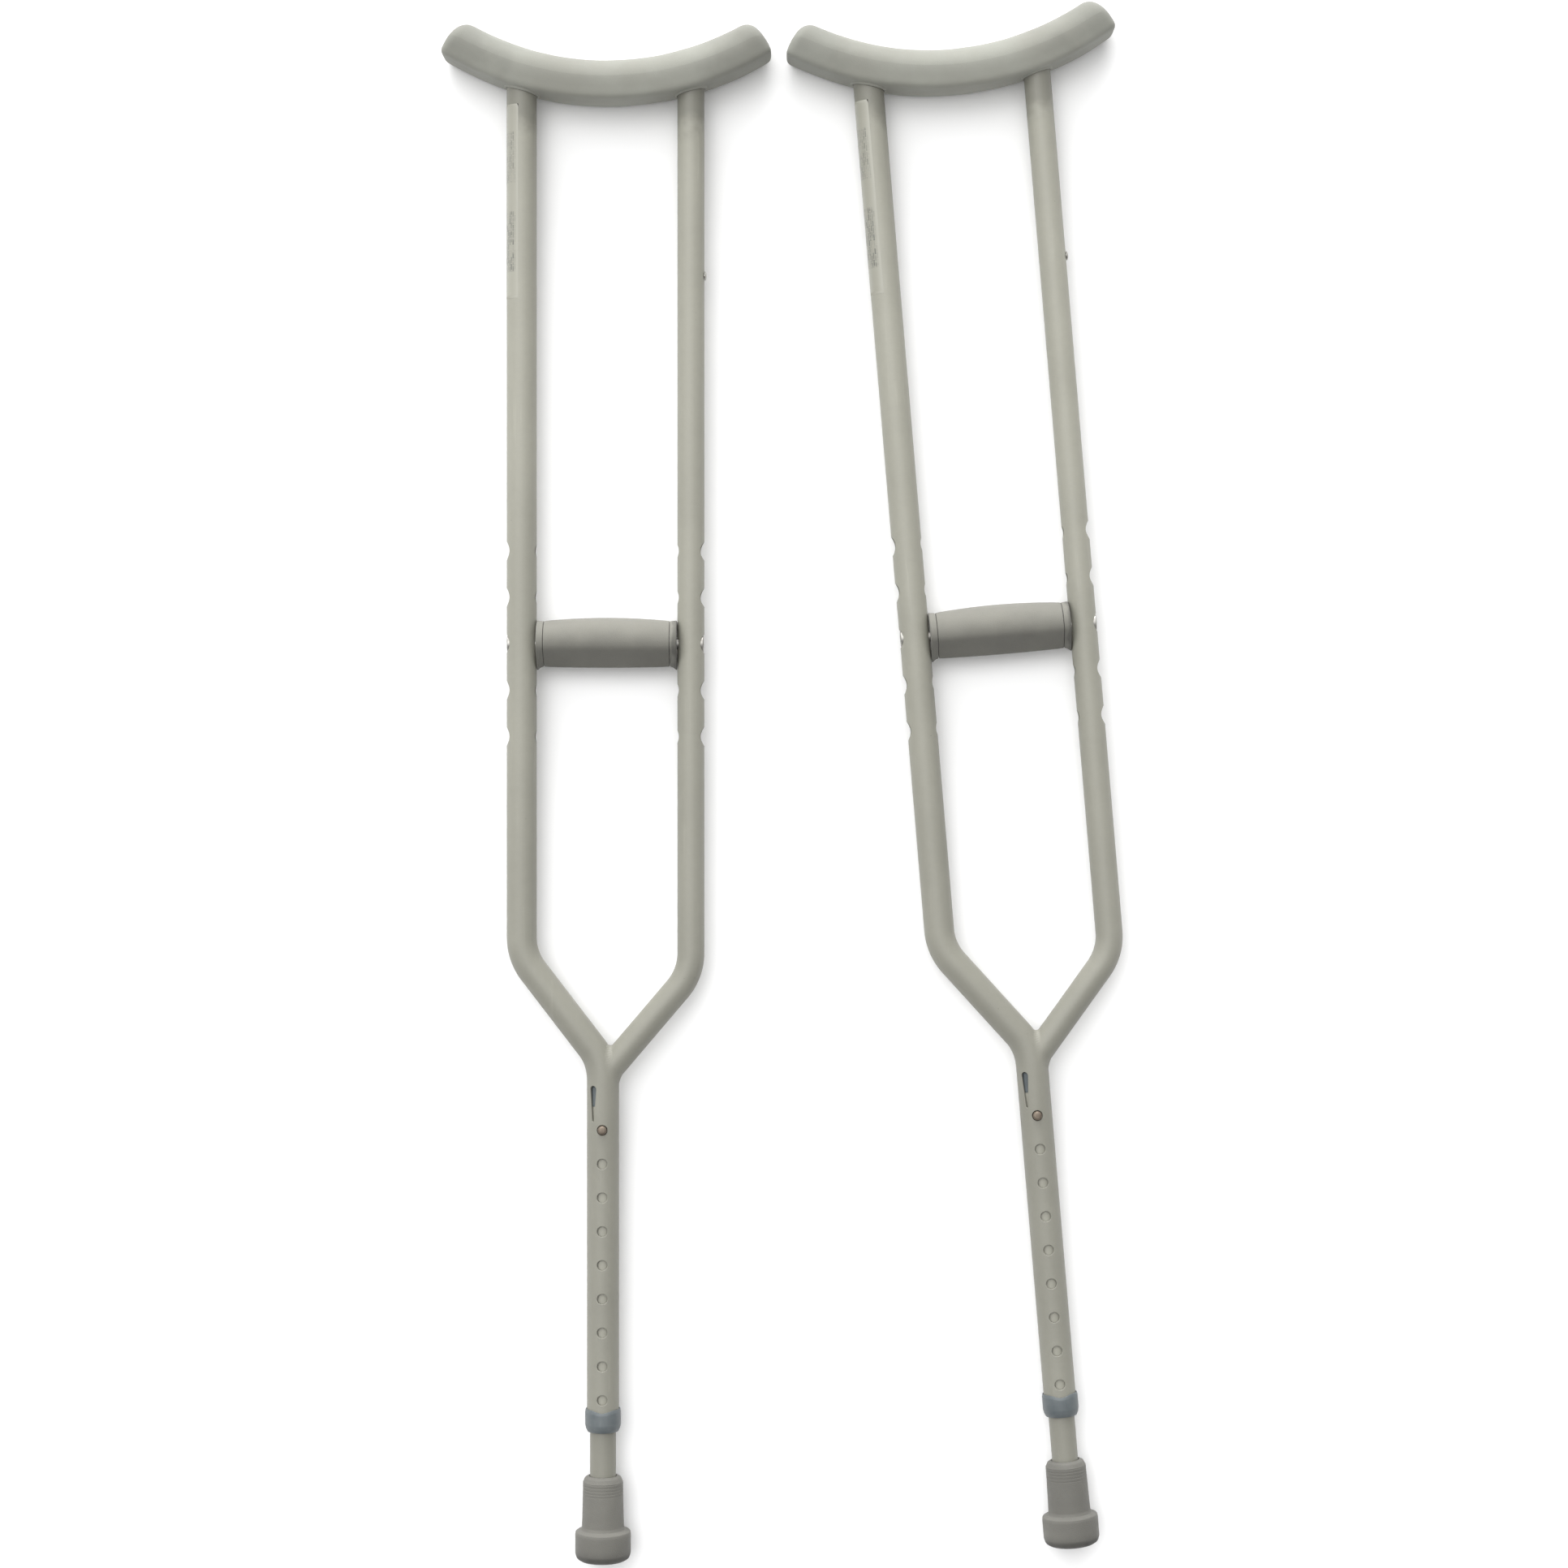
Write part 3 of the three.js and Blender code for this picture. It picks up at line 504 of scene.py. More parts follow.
def rounded(corners, closed=False, step=14):
    """(x, y, radius) corners as a dense line with each corner rounded."""
    out = []
    count = len(corners)
    for i, (x, y, radius) in enumerate(corners):
        here = Vector((x, y))
        if not radius or (not closed and i in (0, count - 1)):
            out.append((x, y))
            continue
        before = Vector(corners[i - 1][:2]) - here
        after = Vector(corners[(i + 1) % count][:2]) - here
        a, b = before.normalized(), after.normalized()
        angle = math.acos(max(-1, min(1, a.dot(b))))
        if angle > math.pi - 1e-3:
            out.append((x, y))
            continue
        reach = min(radius / math.tan(angle / 2), before.length * 0.49, after.length * 0.49)
        radius = reach * math.tan(angle / 2)
        centre = here + (a + b).normalized() * (radius / math.sin(angle / 2))
        start, end = here + a * reach - centre, here + b * reach - centre
        turn = math.pi - angle
        pieces = max(2, math.ceil(math.degrees(turn) / step))
        side = 1 if start.x * end.y - start.y * end.x > 0 else -1
        for k in range(pieces + 1):
            p = Matrix.Rotation(side * turn * k / pieces, 2) @ start + centre
            out.append((p.x, p.y))
    return out


def turned(profile, sides=72, axis="y", centre=(0, 0, 0), closed=False, bend=None):
    """A profile of (radius, height) points turned round an axis. bend may move each point."""
    skin = Skin()
    rings = []
    for radius, height in profile:
        ring = []
        for k in range(sides if radius > 1e-6 else 1):
            angle = 2 * math.pi * k / sides
            r, h = bend(radius, height, angle) if bend else (radius, height)
            u, v = r * math.cos(angle), r * math.sin(angle)
            point = {"y": (u, h, v), "x": (h, u, v), "z": (u, v, h)}[axis]
            ring.append(tuple(c + o for c, o in zip(point, centre)))
        rings.append(skin.ring(ring))
    skin.loft(rings + rings[:1] if closed else rings)
    return skin


def piece(name, shape, body, slot, finish=None, replaces=(), sharp=38):
    """One copy of a shape on each crutch, riding on that crutch's body and standing for its CAD nodes."""
    mesh = shape.mesh(name, sharp) if isinstance(shape, Skin) else shape
    mesh.materials.clear()
    mesh.materials.append(FINISH[finish or slot])
    for index, crutch in enumerate(PAIR):
        obj = bpy.data.objects.new(f"{crutch}_{name}", mesh)
        bpy.context.scene.collection.objects.link(obj)
        obj.matrix_world = PLACE[crutch]
        obj["grain_seed"] = (0.0, 0.0, 0.0) if index == 0 else (3.1, 1.7, 5.3)
        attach(obj, f"{crutch}_{body}")
        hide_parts(*[f"{crutch}_{node}" for node in replaces])


# --- Bent tubes with drilled holes ---

COLUMNS = 60
COLUMN = 2 * math.pi / COLUMNS
RIGHT, FRONT, LEFT = 0, COLUMNS // 4, COLUMNS // 2
RIM = 0.4  # rounding of a hole's outer edge


class BentPath:
    """Straight runs joined by arcs in the crutch's own plane, measured by length."""

    def __init__(self, corners, radius=BEND_R):
        points = [Vector(c) for c in corners]
        self.parts, self.length, self.bends = [], 0.0, []
        at = points[0]
        for i in range(1, len(points) - 1):
            before = (points[i] - points[i - 1]).normalized()
            after = (points[i + 1] - points[i]).normalized()
            turn = math.atan2(before.x * after.y - before.y * after.x, before.dot(after))
            reach = radius * math.tan(abs(turn) / 2)
            self.straight(at, points[i] - before * reach)
            self.bends.append((self.length, self.length + radius * abs(turn)))
            self.parts.append((self.length, "arc", points[i] - before * reach, before, turn, radius))
            self.length += radius * abs(turn)
            at = points[i] + after * reach
        self.straight(at, points[-1])

    def straight(self, a, b):
        self.parts.append((self.length, "line", a, (b - a).normalized(), 0.0, 0.0))
        self.length += (b - a).length

    def at(self, s):
        """The axis point and the way along at length s."""
        start, kind, origin, way, turn, radius = [p for p in self.parts if p[0] <= s + 1e-9][-1]
        along = s - start
        if kind == "line":
            return origin + way * along, way
        side = 1 if turn > 0 else -1
        centre = origin + Vector((-way.y, way.x)) * side * radius
        spin = Matrix.Rotation(side * along / radius, 2)
        return centre + spin @ (origin - centre), spin @ way

    def surface(self, s, angle, radius):
        """A point on the tube: angle 0 faces its right-hand side, 90 degrees its front."""
        p, way = self.at(s)
        u, v = radius * math.cos(angle), radius * math.sin(angle)
        return Vector((p.x + way.y * u, p.y - way.x * u, v))

    def drilled(self, s, angle, along, aside, height):
        """A point in the frame of a hole drilled at (s, angle)."""
        p, way = self.at(s)
        t = Vector((way.x, way.y, 0))
        n = Vector((way.y, -way.x, 0))
        z = Vector((0, 0, 1))
        out = n * math.cos(angle) + z * math.sin(angle)
        round_ = -n * math.sin(angle) + z * math.cos(angle)
        return Vector((p.x, p.y, 0)) + t * along + round_ * aside + out * height


def circle_outline(radius):
    def outline(grow):
        turns = [2 * math.pi * k / 128 for k in range(129)]
        return [((radius + grow) * math.cos(a), (radius + grow) * math.sin(a)) for a in turns]

    return outline


def drop_outline(wide, narrow, apart):
    """Round at the top, narrowing downwards to a small round end."""

    def outline(grow):
        lean = math.asin((wide - narrow) / apart)
        line = []
        for k in range(25):
            a = (math.pi / 2 + lean) * k / 24
            line.append(((wide + grow) * math.cos(a), (wide + grow) * math.sin(a)))
        for k in range(13):
            a = math.pi / 2 + lean + (math.pi / 2 - lean) * k / 12
            line.append((-apart + (narrow + grow) * math.cos(a), (narrow + grow) * math.sin(a)))
        return line + [(a, -b) for a, b in reversed(line[:-1])]

    return outline


def lengths_along(line):
    return np.concatenate([[0], np.cumsum(np.hypot(*np.diff(np.array(line), axis=0).T))])


def along_line(line, fractions):
    """Points at these shares of a line's length."""
    points = np.array(line)
    total = lengths_along(line)
    want = np.array(fractions) * total[-1]
    return np.column_stack([np.interp(want, total, points[:, k]) for k in (0, 1)])


def shell_tube(path, radius_at, wall, rows, holes, start=None):
    """A tube with a wall, open at both ends. rows are lengths along the path; start may bring the first
    rows down to another length for each column. holes are (s, column, half columns, rows, outline)."""
    skin = Skin()
    rows = sorted(set(round(s, 4) for s in rows))
    grids = {}
    for side, inward in (("out", 0.0), ("in", wall)):
        grids[side] = []
        for s in rows:
            ring = []
            for j in range(COLUMNS):
                here = start(s, j) if start else s
                ring.append(path.surface(here, j * COLUMN, radius_at(here) - inward))
            grids[side].append(skin.ring(ring))
    taken = set()
    for s0, column, half, block, outline in holes:
        low, high = rows.index(round(block[0], 4)), rows.index(round(block[-1], 4))
        for i in range(low, high):
            for j in range(column - half, column + half):
                taken.add((i, j % COLUMNS))
        radius = radius_at(s0)
        # Round the block's edge: top middle, positive side, bottom, negative side, top middle
        place = [(high, j) for j in range(column, column + half)]
        place += [(i, column + half) for i in range(high, low, -1)]
        place += [(low, j) for j in range(column + half, column - half, -1)]
        place += [(i, column - half) for i in range(low, high)]
        place += [(high, j) for j in range(column - half, column)]
        angle0 = column * COLUMN
        last = []
        for side, r, sign in (("out", radius, 1), ("in", radius - wall, -1)):
            edge = [(rows[i] - s0, r * math.sin((j - column) * COLUMN)) for i, j in place]
            total = lengths_along(edge + edge[:1])
            fractions = total[:-1] / total[-1]
            rim = RIM if side == "out" else RIM / 2
            wide = along_line(outline(rim), fractions)
            rings = [[grids[side][i][j % COLUMNS] for i, j in place]]
            for t in (0.3, 0.62, 0.86):
                ring = []
                for (a, b), (c, d) in zip(edge, wide):
                    x, y = a + (c - a) * t, b + (d - b) * t
                    ring.append(path.drilled(s0, angle0, x, y, math.sqrt(r * r - y * y)))
                rings.append(skin.ring(ring))
            for k in range(4):
                turn = math.pi / 2 * k / 3
                line = along_line(outline(rim * (1 - math.sin(turn))), fractions)
                drop = rim * (1 - math.cos(turn)) * sign
                ring = [path.drilled(s0, angle0, x, y, math.sqrt(r * r - y * y) - drop) for x, y in line]
                rings.append(skin.ring(ring))
            for a, b in zip(rings, rings[1:]):
                skin.bridge(a, b)
            last.append(rings[-1])
        skin.bridge(last[0], last[1])
    for side in ("out", "in"):
        for i in range(len(rows) - 1):
            below, above = grids[side][i], grids[side][i + 1]
            for j in range(COLUMNS):
                k = (j + 1) % COLUMNS
                if (i, j) not in taken:
                    skin.faces.append((below[j], below[k], above[k], above[j]))
    for end in (0, -1):
        skin.bridge(grids["out"][end], grids["in"][end])
    return skin


def spaced(low, high, step):
    count = max(1, round((high - low) / step))
    return [low + (high - low) * k / count for k in range(count + 1)]


def bend_rows(path):
    return [s for low, high in path.bends for s in spaced(low, high, math.radians(3.2) * BEND_R)]


def columns_over(half_width, radius):
    """How many columns a hole's block takes to each side."""
    return math.ceil(math.asin(half_width / radius) / COLUMN)


def rail_holes(path, outer_column, inner_column, radius):
    """The five grip holes of one rail: a wide one in its outer wall, a small one in its inner wall."""
    holes, rows = [], []
    wide_half = columns_over(ACCESS_R + 1.2, radius)
    small_half = columns_over(SHANK_R + 1.0, radius)
    for k in range(-GRIP_HOLES_EACH_WAY, GRIP_HOLES_EACH_WAY + 1):
        s = path.length - (RAIL_TOP_Y - (GRIP_Y + k * GRIP_PITCH))
        wide = [s + 1.15 * n for n in range(-8, 9)]
        small = wide[3:-3]
        rows += wide
        holes.append((s, outer_column, wide_half, wide, circle_outline(ACCESS_R)))
        holes.append((s, inner_column, small_half, small, circle_outline(SHANK_R)))
    return holes, rows


main_path = BentPath([
    (0, LEG_END_Y), (0, MAIN_FORK_Y), (LEFT_RAIL_X, MAIN_SHOULDER_Y), (LEFT_RAIL_X, RAIL_TOP_Y),
])
side_path = BentPath([(0, SIDE_FORK_Y), (RIGHT_RAIL_X, SIDE_SHOULDER_Y), (RIGHT_RAIL_X, RAIL_TOP_Y)])


def main_radius(s):
    """The leg is opened out; round the first bend the tube narrows to its rail's size."""
    low, high = main_path.bends[0]
    t = min(1.0, max(0.0, (s - low) / (high - low)))
    return LEG_R + (MAIN_R - LEG_R) * t * t * (3 - 2 * t)


def side_radius(s):
    return SIDE_R


def leg_hole(s, half_columns):
    """A hole in the front of the leg or of its extension."""
    block = [s + 1.3 * n for n in range(-4, 5)]
    return s, FRONT, half_columns, block, circle_outline(LEG_HOLE_R)


def make_main_tube():
    holes, rows = rail_holes(main_path, LEFT, RIGHT, MAIN_R)
    for k in range(LEG_HOLES):
        holes.append(leg_hole(BUTTON_Y - k * HOLE_PITCH - LEG_END_Y, 6))
        rows += holes[-1][3]
    # The drain slot is in the leg's front, well to the left.
    slot_s = SLOT_Y - LEG_END_Y
    slot_rows = spaced(slot_s - SLOT_APART - 1.8, slot_s + SLOT_TOP_R + 1.8, 1.24)
    holes.append((slot_s, FRONT + 6, 3, slot_rows, drop_outline(SLOT_TOP_R, SLOT_FOOT_R, SLOT_APART)))
    rows += slot_rows + bend_rows(main_path)
    rows += spaced(0, LEG_END_Y, 52) + spaced(main_path.bends[1][1], main_path.length, 40)
    rows = tidy_rows(rows, holes, main_path.length)
    return shell_tube(main_path, main_radius, MAIN_WALL, rows, holes)


def tidy_rows(rows, holes, length):
    """Drops plain rows that fall inside or too close to a hole's block."""
    blocks = [hole[3] for hole in holes]
    out = {round(s, 4) for block in blocks for s in block}
    for s in {round(row, 4) for row in rows} - out:
        inside = any(block[0] - 0.4 < s < block[-1] + 0.4 for block in blocks)
        if not inside and -1e-6 <= s <= length + 1e-6:
            out.add(s)
    out.update((0.0, round(length, 4)))
    return sorted(out)


# The main tube's axis near the fork, for finding where the side tube meets it.
near_s = np.arange(200, 330, 0.2)
near_axis = np.array([tuple(main_path.at(s)[0]) for s in near_s])


def off_main(point):
    """A point's distance from the main tube's axis, the nearest axis point and the tube's radius there."""
    flat = (near_axis[:, 0] - point.x) ** 2 + (near_axis[:, 1] - point.y) ** 2
    best = int(flat.argmin())
    away = math.sqrt(flat[best] + point.z ** 2)
    return away, Vector((near_axis[best][0], near_axis[best][1], 0)), main_radius(near_s[best])


def meeting(angle, radius, depth):
    """Where the side tube's wall line at this angle leaves the main tube, held depth inside its surface."""

    def inside(s):
        away, _, main_r = off_main(side_path.surface(s, angle, radius))
        return away < main_r - depth

    best = 0.0
    for s in np.arange(0, 90, 0.5):
        if inside(s):
            best = s
    low, high = best, best + 0.5
    for _ in range(20):
        mid = (low + high) / 2
        if inside(mid):
            low = mid
        else:
            high = mid
    return high


def make_side_tube():
    holes, rows = rail_holes(side_path, RIGHT, LEFT, SIDE_R)
    begin = [meeting(j * COLUMN, SIDE_R, 0.7) for j in range(COLUMNS)]
    join = max(begin) + 8
    lead = [join * t for t in (0, 0.03, 0.08, 0.16, 0.3, 0.5, 0.75, 1.0)]
    rows += lead + [s for s in bend_rows(side_path) if s > join + 0.5]
    rows += spaced(join, side_path.length, 40)
    rows = tidy_rows(rows, holes, side_path.length)
    rows = [s for s in rows if s >= join - 1e-3 or any(abs(s - k) < 1e-3 for k in lead)]

    def start(s, j):
        return begin[j] + (join - begin[j]) * s / join if s < join else s

    return shell_tube(side_path, side_radius, SIDE_WALL, rows, holes, start)


def make_fork_weld():
    """A hand-laid fillet bead: concave between the tubes, with the ripple of the passes."""
    skin = Skin()
    rings = []
    count = 180
    for k in range(count):
        angle = 2 * math.pi * k / count
        s = meeting(angle, SIDE_R, 0)
        leg = 3.6 + 0.5 * math.sin(3 * angle + 0.7) + 0.25 * math.sin(7 * angle)
        ripple = 0.13 * math.sin(46 * angle + 1.2 * math.sin(3 * angle))
        root = side_path.surface(s, angle, SIDE_R)
        upper = side_path.surface(s + leg, angle, SIDE_R + 0.02)
        _, axis, main_r = off_main(root)
        away = root - Vector((*side_path.at(s)[0], 0))
        way = side_path.at(s)[1]
        along = Vector((way.x, way.y, 0))
        away -= along * away.dot(along)
        out = (root - axis).normalized()
        away = (away - out * away.dot(out)).normalized()
        lower = root + away * leg
        _, lower_axis, lower_r = off_main(lower)
        lower = lower_axis + (lower - lower_axis).normalized() * (lower_r + 0.02)
        belly = root.lerp((upper + lower) / 2, 0.42 + ripple)
        ring = []
        for t in np.linspace(0, 1, 11):
            ring.append(upper * (1 - t) ** 2 + belly * 2 * t * (1 - t) + lower * t * t)
        inside_low = lower_axis + (lower - lower_axis).normalized() * (lower_r - 0.9)
        inside_high = side_path.surface(s + leg, angle, SIDE_R - 0.9)
        middle = root.lerp(axis, 1.1 / main_r)
        rings.append(skin.ring([*ring, inside_low, middle, inside_high]))
    skin.loft(rings + rings[:1])
    return skin


# --- Frame pieces ---

piece("main_tube_skin", make_main_tube(), "frame", "frame_paint", replaces=["main_tube"])
piece("side_tube_skin", make_side_tube(), "frame", "frame_paint", replaces=["side_tube"])
piece("fork_bead", make_fork_weld(), "frame", "frame_paint", replaces=["fork_weld"], sharp=60)


def make_rivet():
    """A low domed head on the rail's outer side, with its shank inside."""
    seat = rivet_high[0] - 1.28
    profile = rounded([
        (0, rivet_low[0], 0), (1.6, rivet_low[0], 0.2), (1.6, seat, 0), (3.35, seat, 0.15),
        (3.4, seat + 0.45, 0.3), (2.2, seat + 1.15, 1.6), (0, seat + 1.28, 0),
    ], step=10)
    return turned(profile, 40, "x", (0, (rivet_low[1] + rivet_high[1]) / 2, 0))


piece("rivet_head", make_rivet(), "frame", "bare_steel", replaces=["rail_rivet"])


def make_label():
    """A thin film with eased edges on the left rail, drawn with its print's own grid."""
    low, high = label_low[1], label_high[1]
    first, last = math.radians(99), math.radians(207)
    along, around = 60, 26
    inner, outer = MAIN_R + 0.06, MAIN_R + 0.16
    skin, coords, rims = Skin(), [], []
    for radius in (outer, inner):
        rows = []
        for i in range(along + 1):
            y = low + (high - low) * i / along
            row = []
            for j in range(around + 1):
                angle = first + (last - first) * j / around
                r = radius if min(i, along - i, j, around - j) else inner + 0.02
                row.append((LEFT_RAIL_X + r * math.cos(angle), y, r * math.sin(angle)))
                coords.append(((y - low) * 0.1, (angle - first) * outer * 0.1))
            rows.append(skin.ring(row))
        for a, b in zip(rows, rows[1:]):
            skin.faces += [(a[j], a[j + 1], b[j + 1], b[j]) for j in range(around)]
        inside = rows[1:-1]
        rims.append(rows[0] + [row[-1] for row in inside] + rows[-1][::-1] + [row[0] for row in inside[::-1]])
    skin.bridge(*rims)
    mesh = skin.mesh("label_film", 180)
    layer = mesh.uv_layers.new(name="print")
    for loop in mesh.loops:
        layer.data[loop.index].uv = coords[loop.vertex_index]
    return mesh


piece("label_wrap", make_label(), "frame", "label_film", replaces=["rail_label"])


def make_collar():
    """A ferrule whose upper edge dips in a soft V at its front and back."""
    low, high = collar_low[1], collar_high[1]
    outer = collar_high[0]
    bore, lip = LEG_R + 0.3, EXT_R + 0.3
    seat = LEG_END_Y - 0.3
    profile = rounded([
        (lip, low, 0.3), (outer - 1.8, low, 0.7), (outer - 0.6, low + 2.6, 1.5), (outer, low + 5.4, 2.0),
        (outer, high - 2.4, 1.0), (outer - 0.5, high, 0.35), (bore, high, 0.2), (bore, seat, 0),
        (lip, seat, 0.2),
    ], closed=True, step=18)
    still, deep, half_wide = low + 7, 1.9, 44  # up to here it stays round; the dip's depth and degrees

    def bend(radius, height, angle):
        dip = max(0.0, 1 - abs(math.degrees(angle) % 180 - 90) / half_wide)
        share = max(0.0, (height - still) / (high - still))
        return radius, height - deep * share * dip * dip * (3 - 2 * dip)

    return turned(profile, 96, closed=True, bend=bend)


piece("collar_ferrule", make_collar(), "frame", "collar_plastic", replaces=["leg_collar"])

# --- Leg ---


def make_extension():
    path = BentPath([(0, ext_low[1]), (0, ext_high[1])])
    holes = [leg_hole(BUTTON_Y - ext_low[1], 5)]
    rows = tidy_rows(spaced(0, path.length, 30), holes, path.length)
    return shell_tube(path, lambda s: EXT_R, EXT_WALL, rows, holes)


piece("extension_skin", make_extension(), "leg", "frame_paint", "leg_paint", ["extension_tube"])


def make_button():
    """A domed pin on a flange that stops it inside the leg."""
    base, top = button_low[2], button_high[2]
    radius, flange, thick = 3.4, 4.8, 0.9
    profile = rounded([
        (0, base, 0), (flange, base, 0.2), (flange, base + thick, 0.2), (radius, base + thick, 0.1),
        (radius, top - 1.5, 0.9), (2.5, top - 0.25, 1.6), (0, top, 0),
    ], step=9)
    return turned(profile, 48, "z", (0, BUTTON_Y, 0))


piece("spring_button", make_button(), "button", "bronze", replaces=["push_button"])


def make_tip():
    """A rubber foot turned round the leg: a grooved sole, a wide base, a ribbed neck and the leg's bore."""
    top, wide = tip_high[1] - 1.7, tip_high[0]
    bore, bore_floor = EXT_R + 0.25, 12.0
    sole, groove_floor = 2.0, 3.3
    corners = [(0, groove_floor, 0), (3.0, groove_floor, 0.2), (3.3, sole, 0.3)]
    for inner, outer in ((7.4, 9.0), (12.6, 14.2)):
        corners += [(inner, sole, 0.3), (inner + 0.3, groove_floor, 0.2)]
        corners += [(outer - 0.3, groove_floor, 0.2), (outer, sole, 0.3)]
    corners += [(wide - 4.2, sole, 1.6), (wide - 1.2, sole + 1.8, 3.0), (wide, sole + 5.6, 4.0)]
    corners += [(wide, 21.6, 1.6), (wide - 0.35, 24.0, 1.2), (wide - 2.2, 24.5, 1.0)]
    corners += [(16.7, 25.3, 1.0), (15.9, 27.6, 1.6), (15.65, 34, 2)]
    for k in range(5):
        y = 51.0 + k * 2.3
        corners += [(15.3 - 0.03 * k, y, 0.2), (15.17 - 0.035 * k, y + 0.55, 0.25)]
        corners += [(15.27 - 0.04 * k, y + 1.15, 0.2)]
    corners += [(14.9, 61.6, 1.2), (13.6, 64.6, 2.4), (12.0, top - 0.5, 1.6), (11.1, top, 0.5)]
    corners += [(bore + 0.4, top, 0.3), (bore, top - 0.6, 0.3), (bore, bore_floor, 0.2), (0, bore_floor, 0)]
    return turned(rounded(corners, step=16), 96)


piece("tip_foot", make_tip(), "leg", "tip_rubber", replaces=["rubber_tip"], sharp=50)

# --- Handgrip ---


def grip_section(angle):
    """The grip's radius at an angle from +Y towards +Z, as a share of its full radius. The finger
    side is drawn in on both faces, so the section is a rounded egg with its narrow end down."""
    flat, tilt, crispness = 0.815, math.radians(50), 34.0
    down = math.atan2(-math.cos(angle), abs(math.sin(angle)))
    if down <= -0.4:
        return 1.0
    cut = flat / max(0.2, math.cos(down - tilt))
    # A soft minimum of the circle and the flat
    return min(1.0, -math.log(math.exp(-crispness) + math.exp(-crispness * cut)) / crispness)


def across(points_at, stations):
    """Rings across the rails: points_at(station, angle) gives (x, radius)."""
    skin = Skin()
    rings = []
    for station in stations:
        ring = []
        for k in range(GRIP_COLUMNS):
            angle = 2 * math.pi * k / GRIP_COLUMNS
            x, radius = points_at(station, angle)
            ring.append((x, GRIP_Y + radius * math.cos(angle), radius * math.sin(angle)))
        rings.append(skin.ring(ring))
    skin.loft(rings + rings[:1])
    return skin


def make_sleeve():
    """The soft sleeve over the core, egg-shaped in section and crowned along its length."""
    low, high = GRIP_LEFT_X + CAP + 0.15, GRIP_RIGHT_X - CAP - 0.15
    crowned = []
    for k in range(1, 24):
        radius = GRIP_END_R + (GRIP_MID_R - GRIP_END_R) * math.sin(math.pi * k / 24) ** 0.8
        crowned.append((radius, low + (high - low) * k / 24, 0))
    line = rounded([
        (CORE_BORE, low, 0.2), (GRIP_END_R - 0.1, low, 0.7), *crowned,
        (GRIP_END_R - 0.1, high, 0.7), (CORE_BORE, high, 0.2),
    ], closed=True)

    def at(station, angle):
        radius, x = station
        if radius > CORE_BORE + 0.5:
            crown = math.sin(math.pi * (x - low) / (high - low))
            radius = radius * grip_section(angle) + GRIP_LIFT * crown * math.cos(angle)
            radius = max(radius, CORE_BORE + 0.6)
        return x, radius

    return across(at, line)


def make_cap(side):
    """An end cap whose face is hollowed to saddle its rail, and which flares a little at its foot."""
    rail_r = MAIN_R if side < 0 else SIDE_R
    face = GRIP_LEFT_X if side < 0 else GRIP_RIGHT_X
    gap = rail_r + 0.35
    length = CAP + HORN
    line = rounded([
        (CORE_BORE, 0.15, 0.2), (GRIP_END_R - 0.1, 0.15, 0.5), (GRIP_END_R + 0.05, 2.0, 1.5),
        (GRIP_END_R + 0.3, CAP - 0.6, 1.5), (GRIP_END_R + 0.4, length - 0.5, 0.4),
        (GRIP_END_R - 0.3, length, 0.3),
        (15.5, length, 0), (13.5, length, 0), (CORE_BORE, length, 0.2),
    ], closed=True)

    def at(station, angle):
        radius, depth = station
        if radius > CORE_BORE + 0.5:
            foot = max(0.0, -math.cos(angle)) ** 3 * (depth / length) ** 2
            radius = max(CORE_BORE + 0.6, radius * grip_section(angle) + 2.6 * foot)
        z = radius * math.sin(angle)
        reach = length
        if abs(z) < gap:
            reach = min(reach, CAP + rail_r - math.sqrt(gap * gap - z * z))
        back = face - side * CAP
        return back + side * depth / length * reach, radius

    return across(at, line)


piece("grip_foam", make_sleeve(), "grip", "grip_rubber", replaces=["grip_sleeve"])
for end, side in (("left", -1), ("right", 1)):
    name, node = f"grip_{end}_saddle", f"grip_{end}_cap"
    piece(name, make_cap(side), "grip", "grip_rubber", replaces=[node], sharp=50)


def make_bolt(side):
    """A long round head with a hexagon socket, and a shank that reaches into the grip's nut."""
    low, high = (left_bolt_low, left_bolt_high) if side < 0 else (right_bolt_low, right_bolt_high)
    face, tip = (-low[0], -high[0]) if side < 0 else (high[0], low[0])
    rail_x, inner_r = (-LEFT_RAIL_X, MAIN_R - MAIN_WALL) if side < 0 else (RIGHT_RAIL_X, SIDE_R - SIDE_WALL)
    head, shank, key, sides = 6.6, 4.0, 4.2, 72
    seat = rail_x - math.sqrt(inner_r ** 2 - head ** 2) + 0.4
    skin = Skin()
    profile = rounded([
        (0, tip, 0), (shank - 0.7, tip, 0.2), (shank, tip + 0.8, 0.3), (shank, seat, 0.2), (head, seat, 0.3),
        (head, face - 0.5, 0.35), (head - 0.55, face, 0.3), (key * 1.28, face, 0),
    ], step=15)
    rings = [skin.ring(circle(x, radius, sides if radius > 1e-6 else 1)) for radius, x in profile]
    for grow, x in ((0.25, face), (0.0, face - 0.25), (0.0, face - 5.6)):
        ring = []
        for k in range(sides):
            angle = 2 * math.pi * k / sides
            radius = (key + grow) * math.cos(math.pi / 6) / math.cos(angle % (math.pi / 3) - math.pi / 6)
            ring.append((x, radius * math.cos(angle), radius * math.sin(angle)))
        rings.append(skin.ring(ring))
    rings.append(skin.ring(circle(face - 6.0, 2.6, sides)))
    rings.append(skin.ring([(face - 6.9, 0, 0)]))
    skin.loft(rings)
    skin.points = [(side * x, y + GRIP_Y, z) for x, y, z in skin.points]
    return skin


for end, side in (("left", -1), ("right", 1)):
    piece(f"{end}_bolt_head", make_bolt(side), f"{end}_bolt", "bare_steel", replaces=[f"grip_{end}_bolt"])

# --- Underarm pad ---


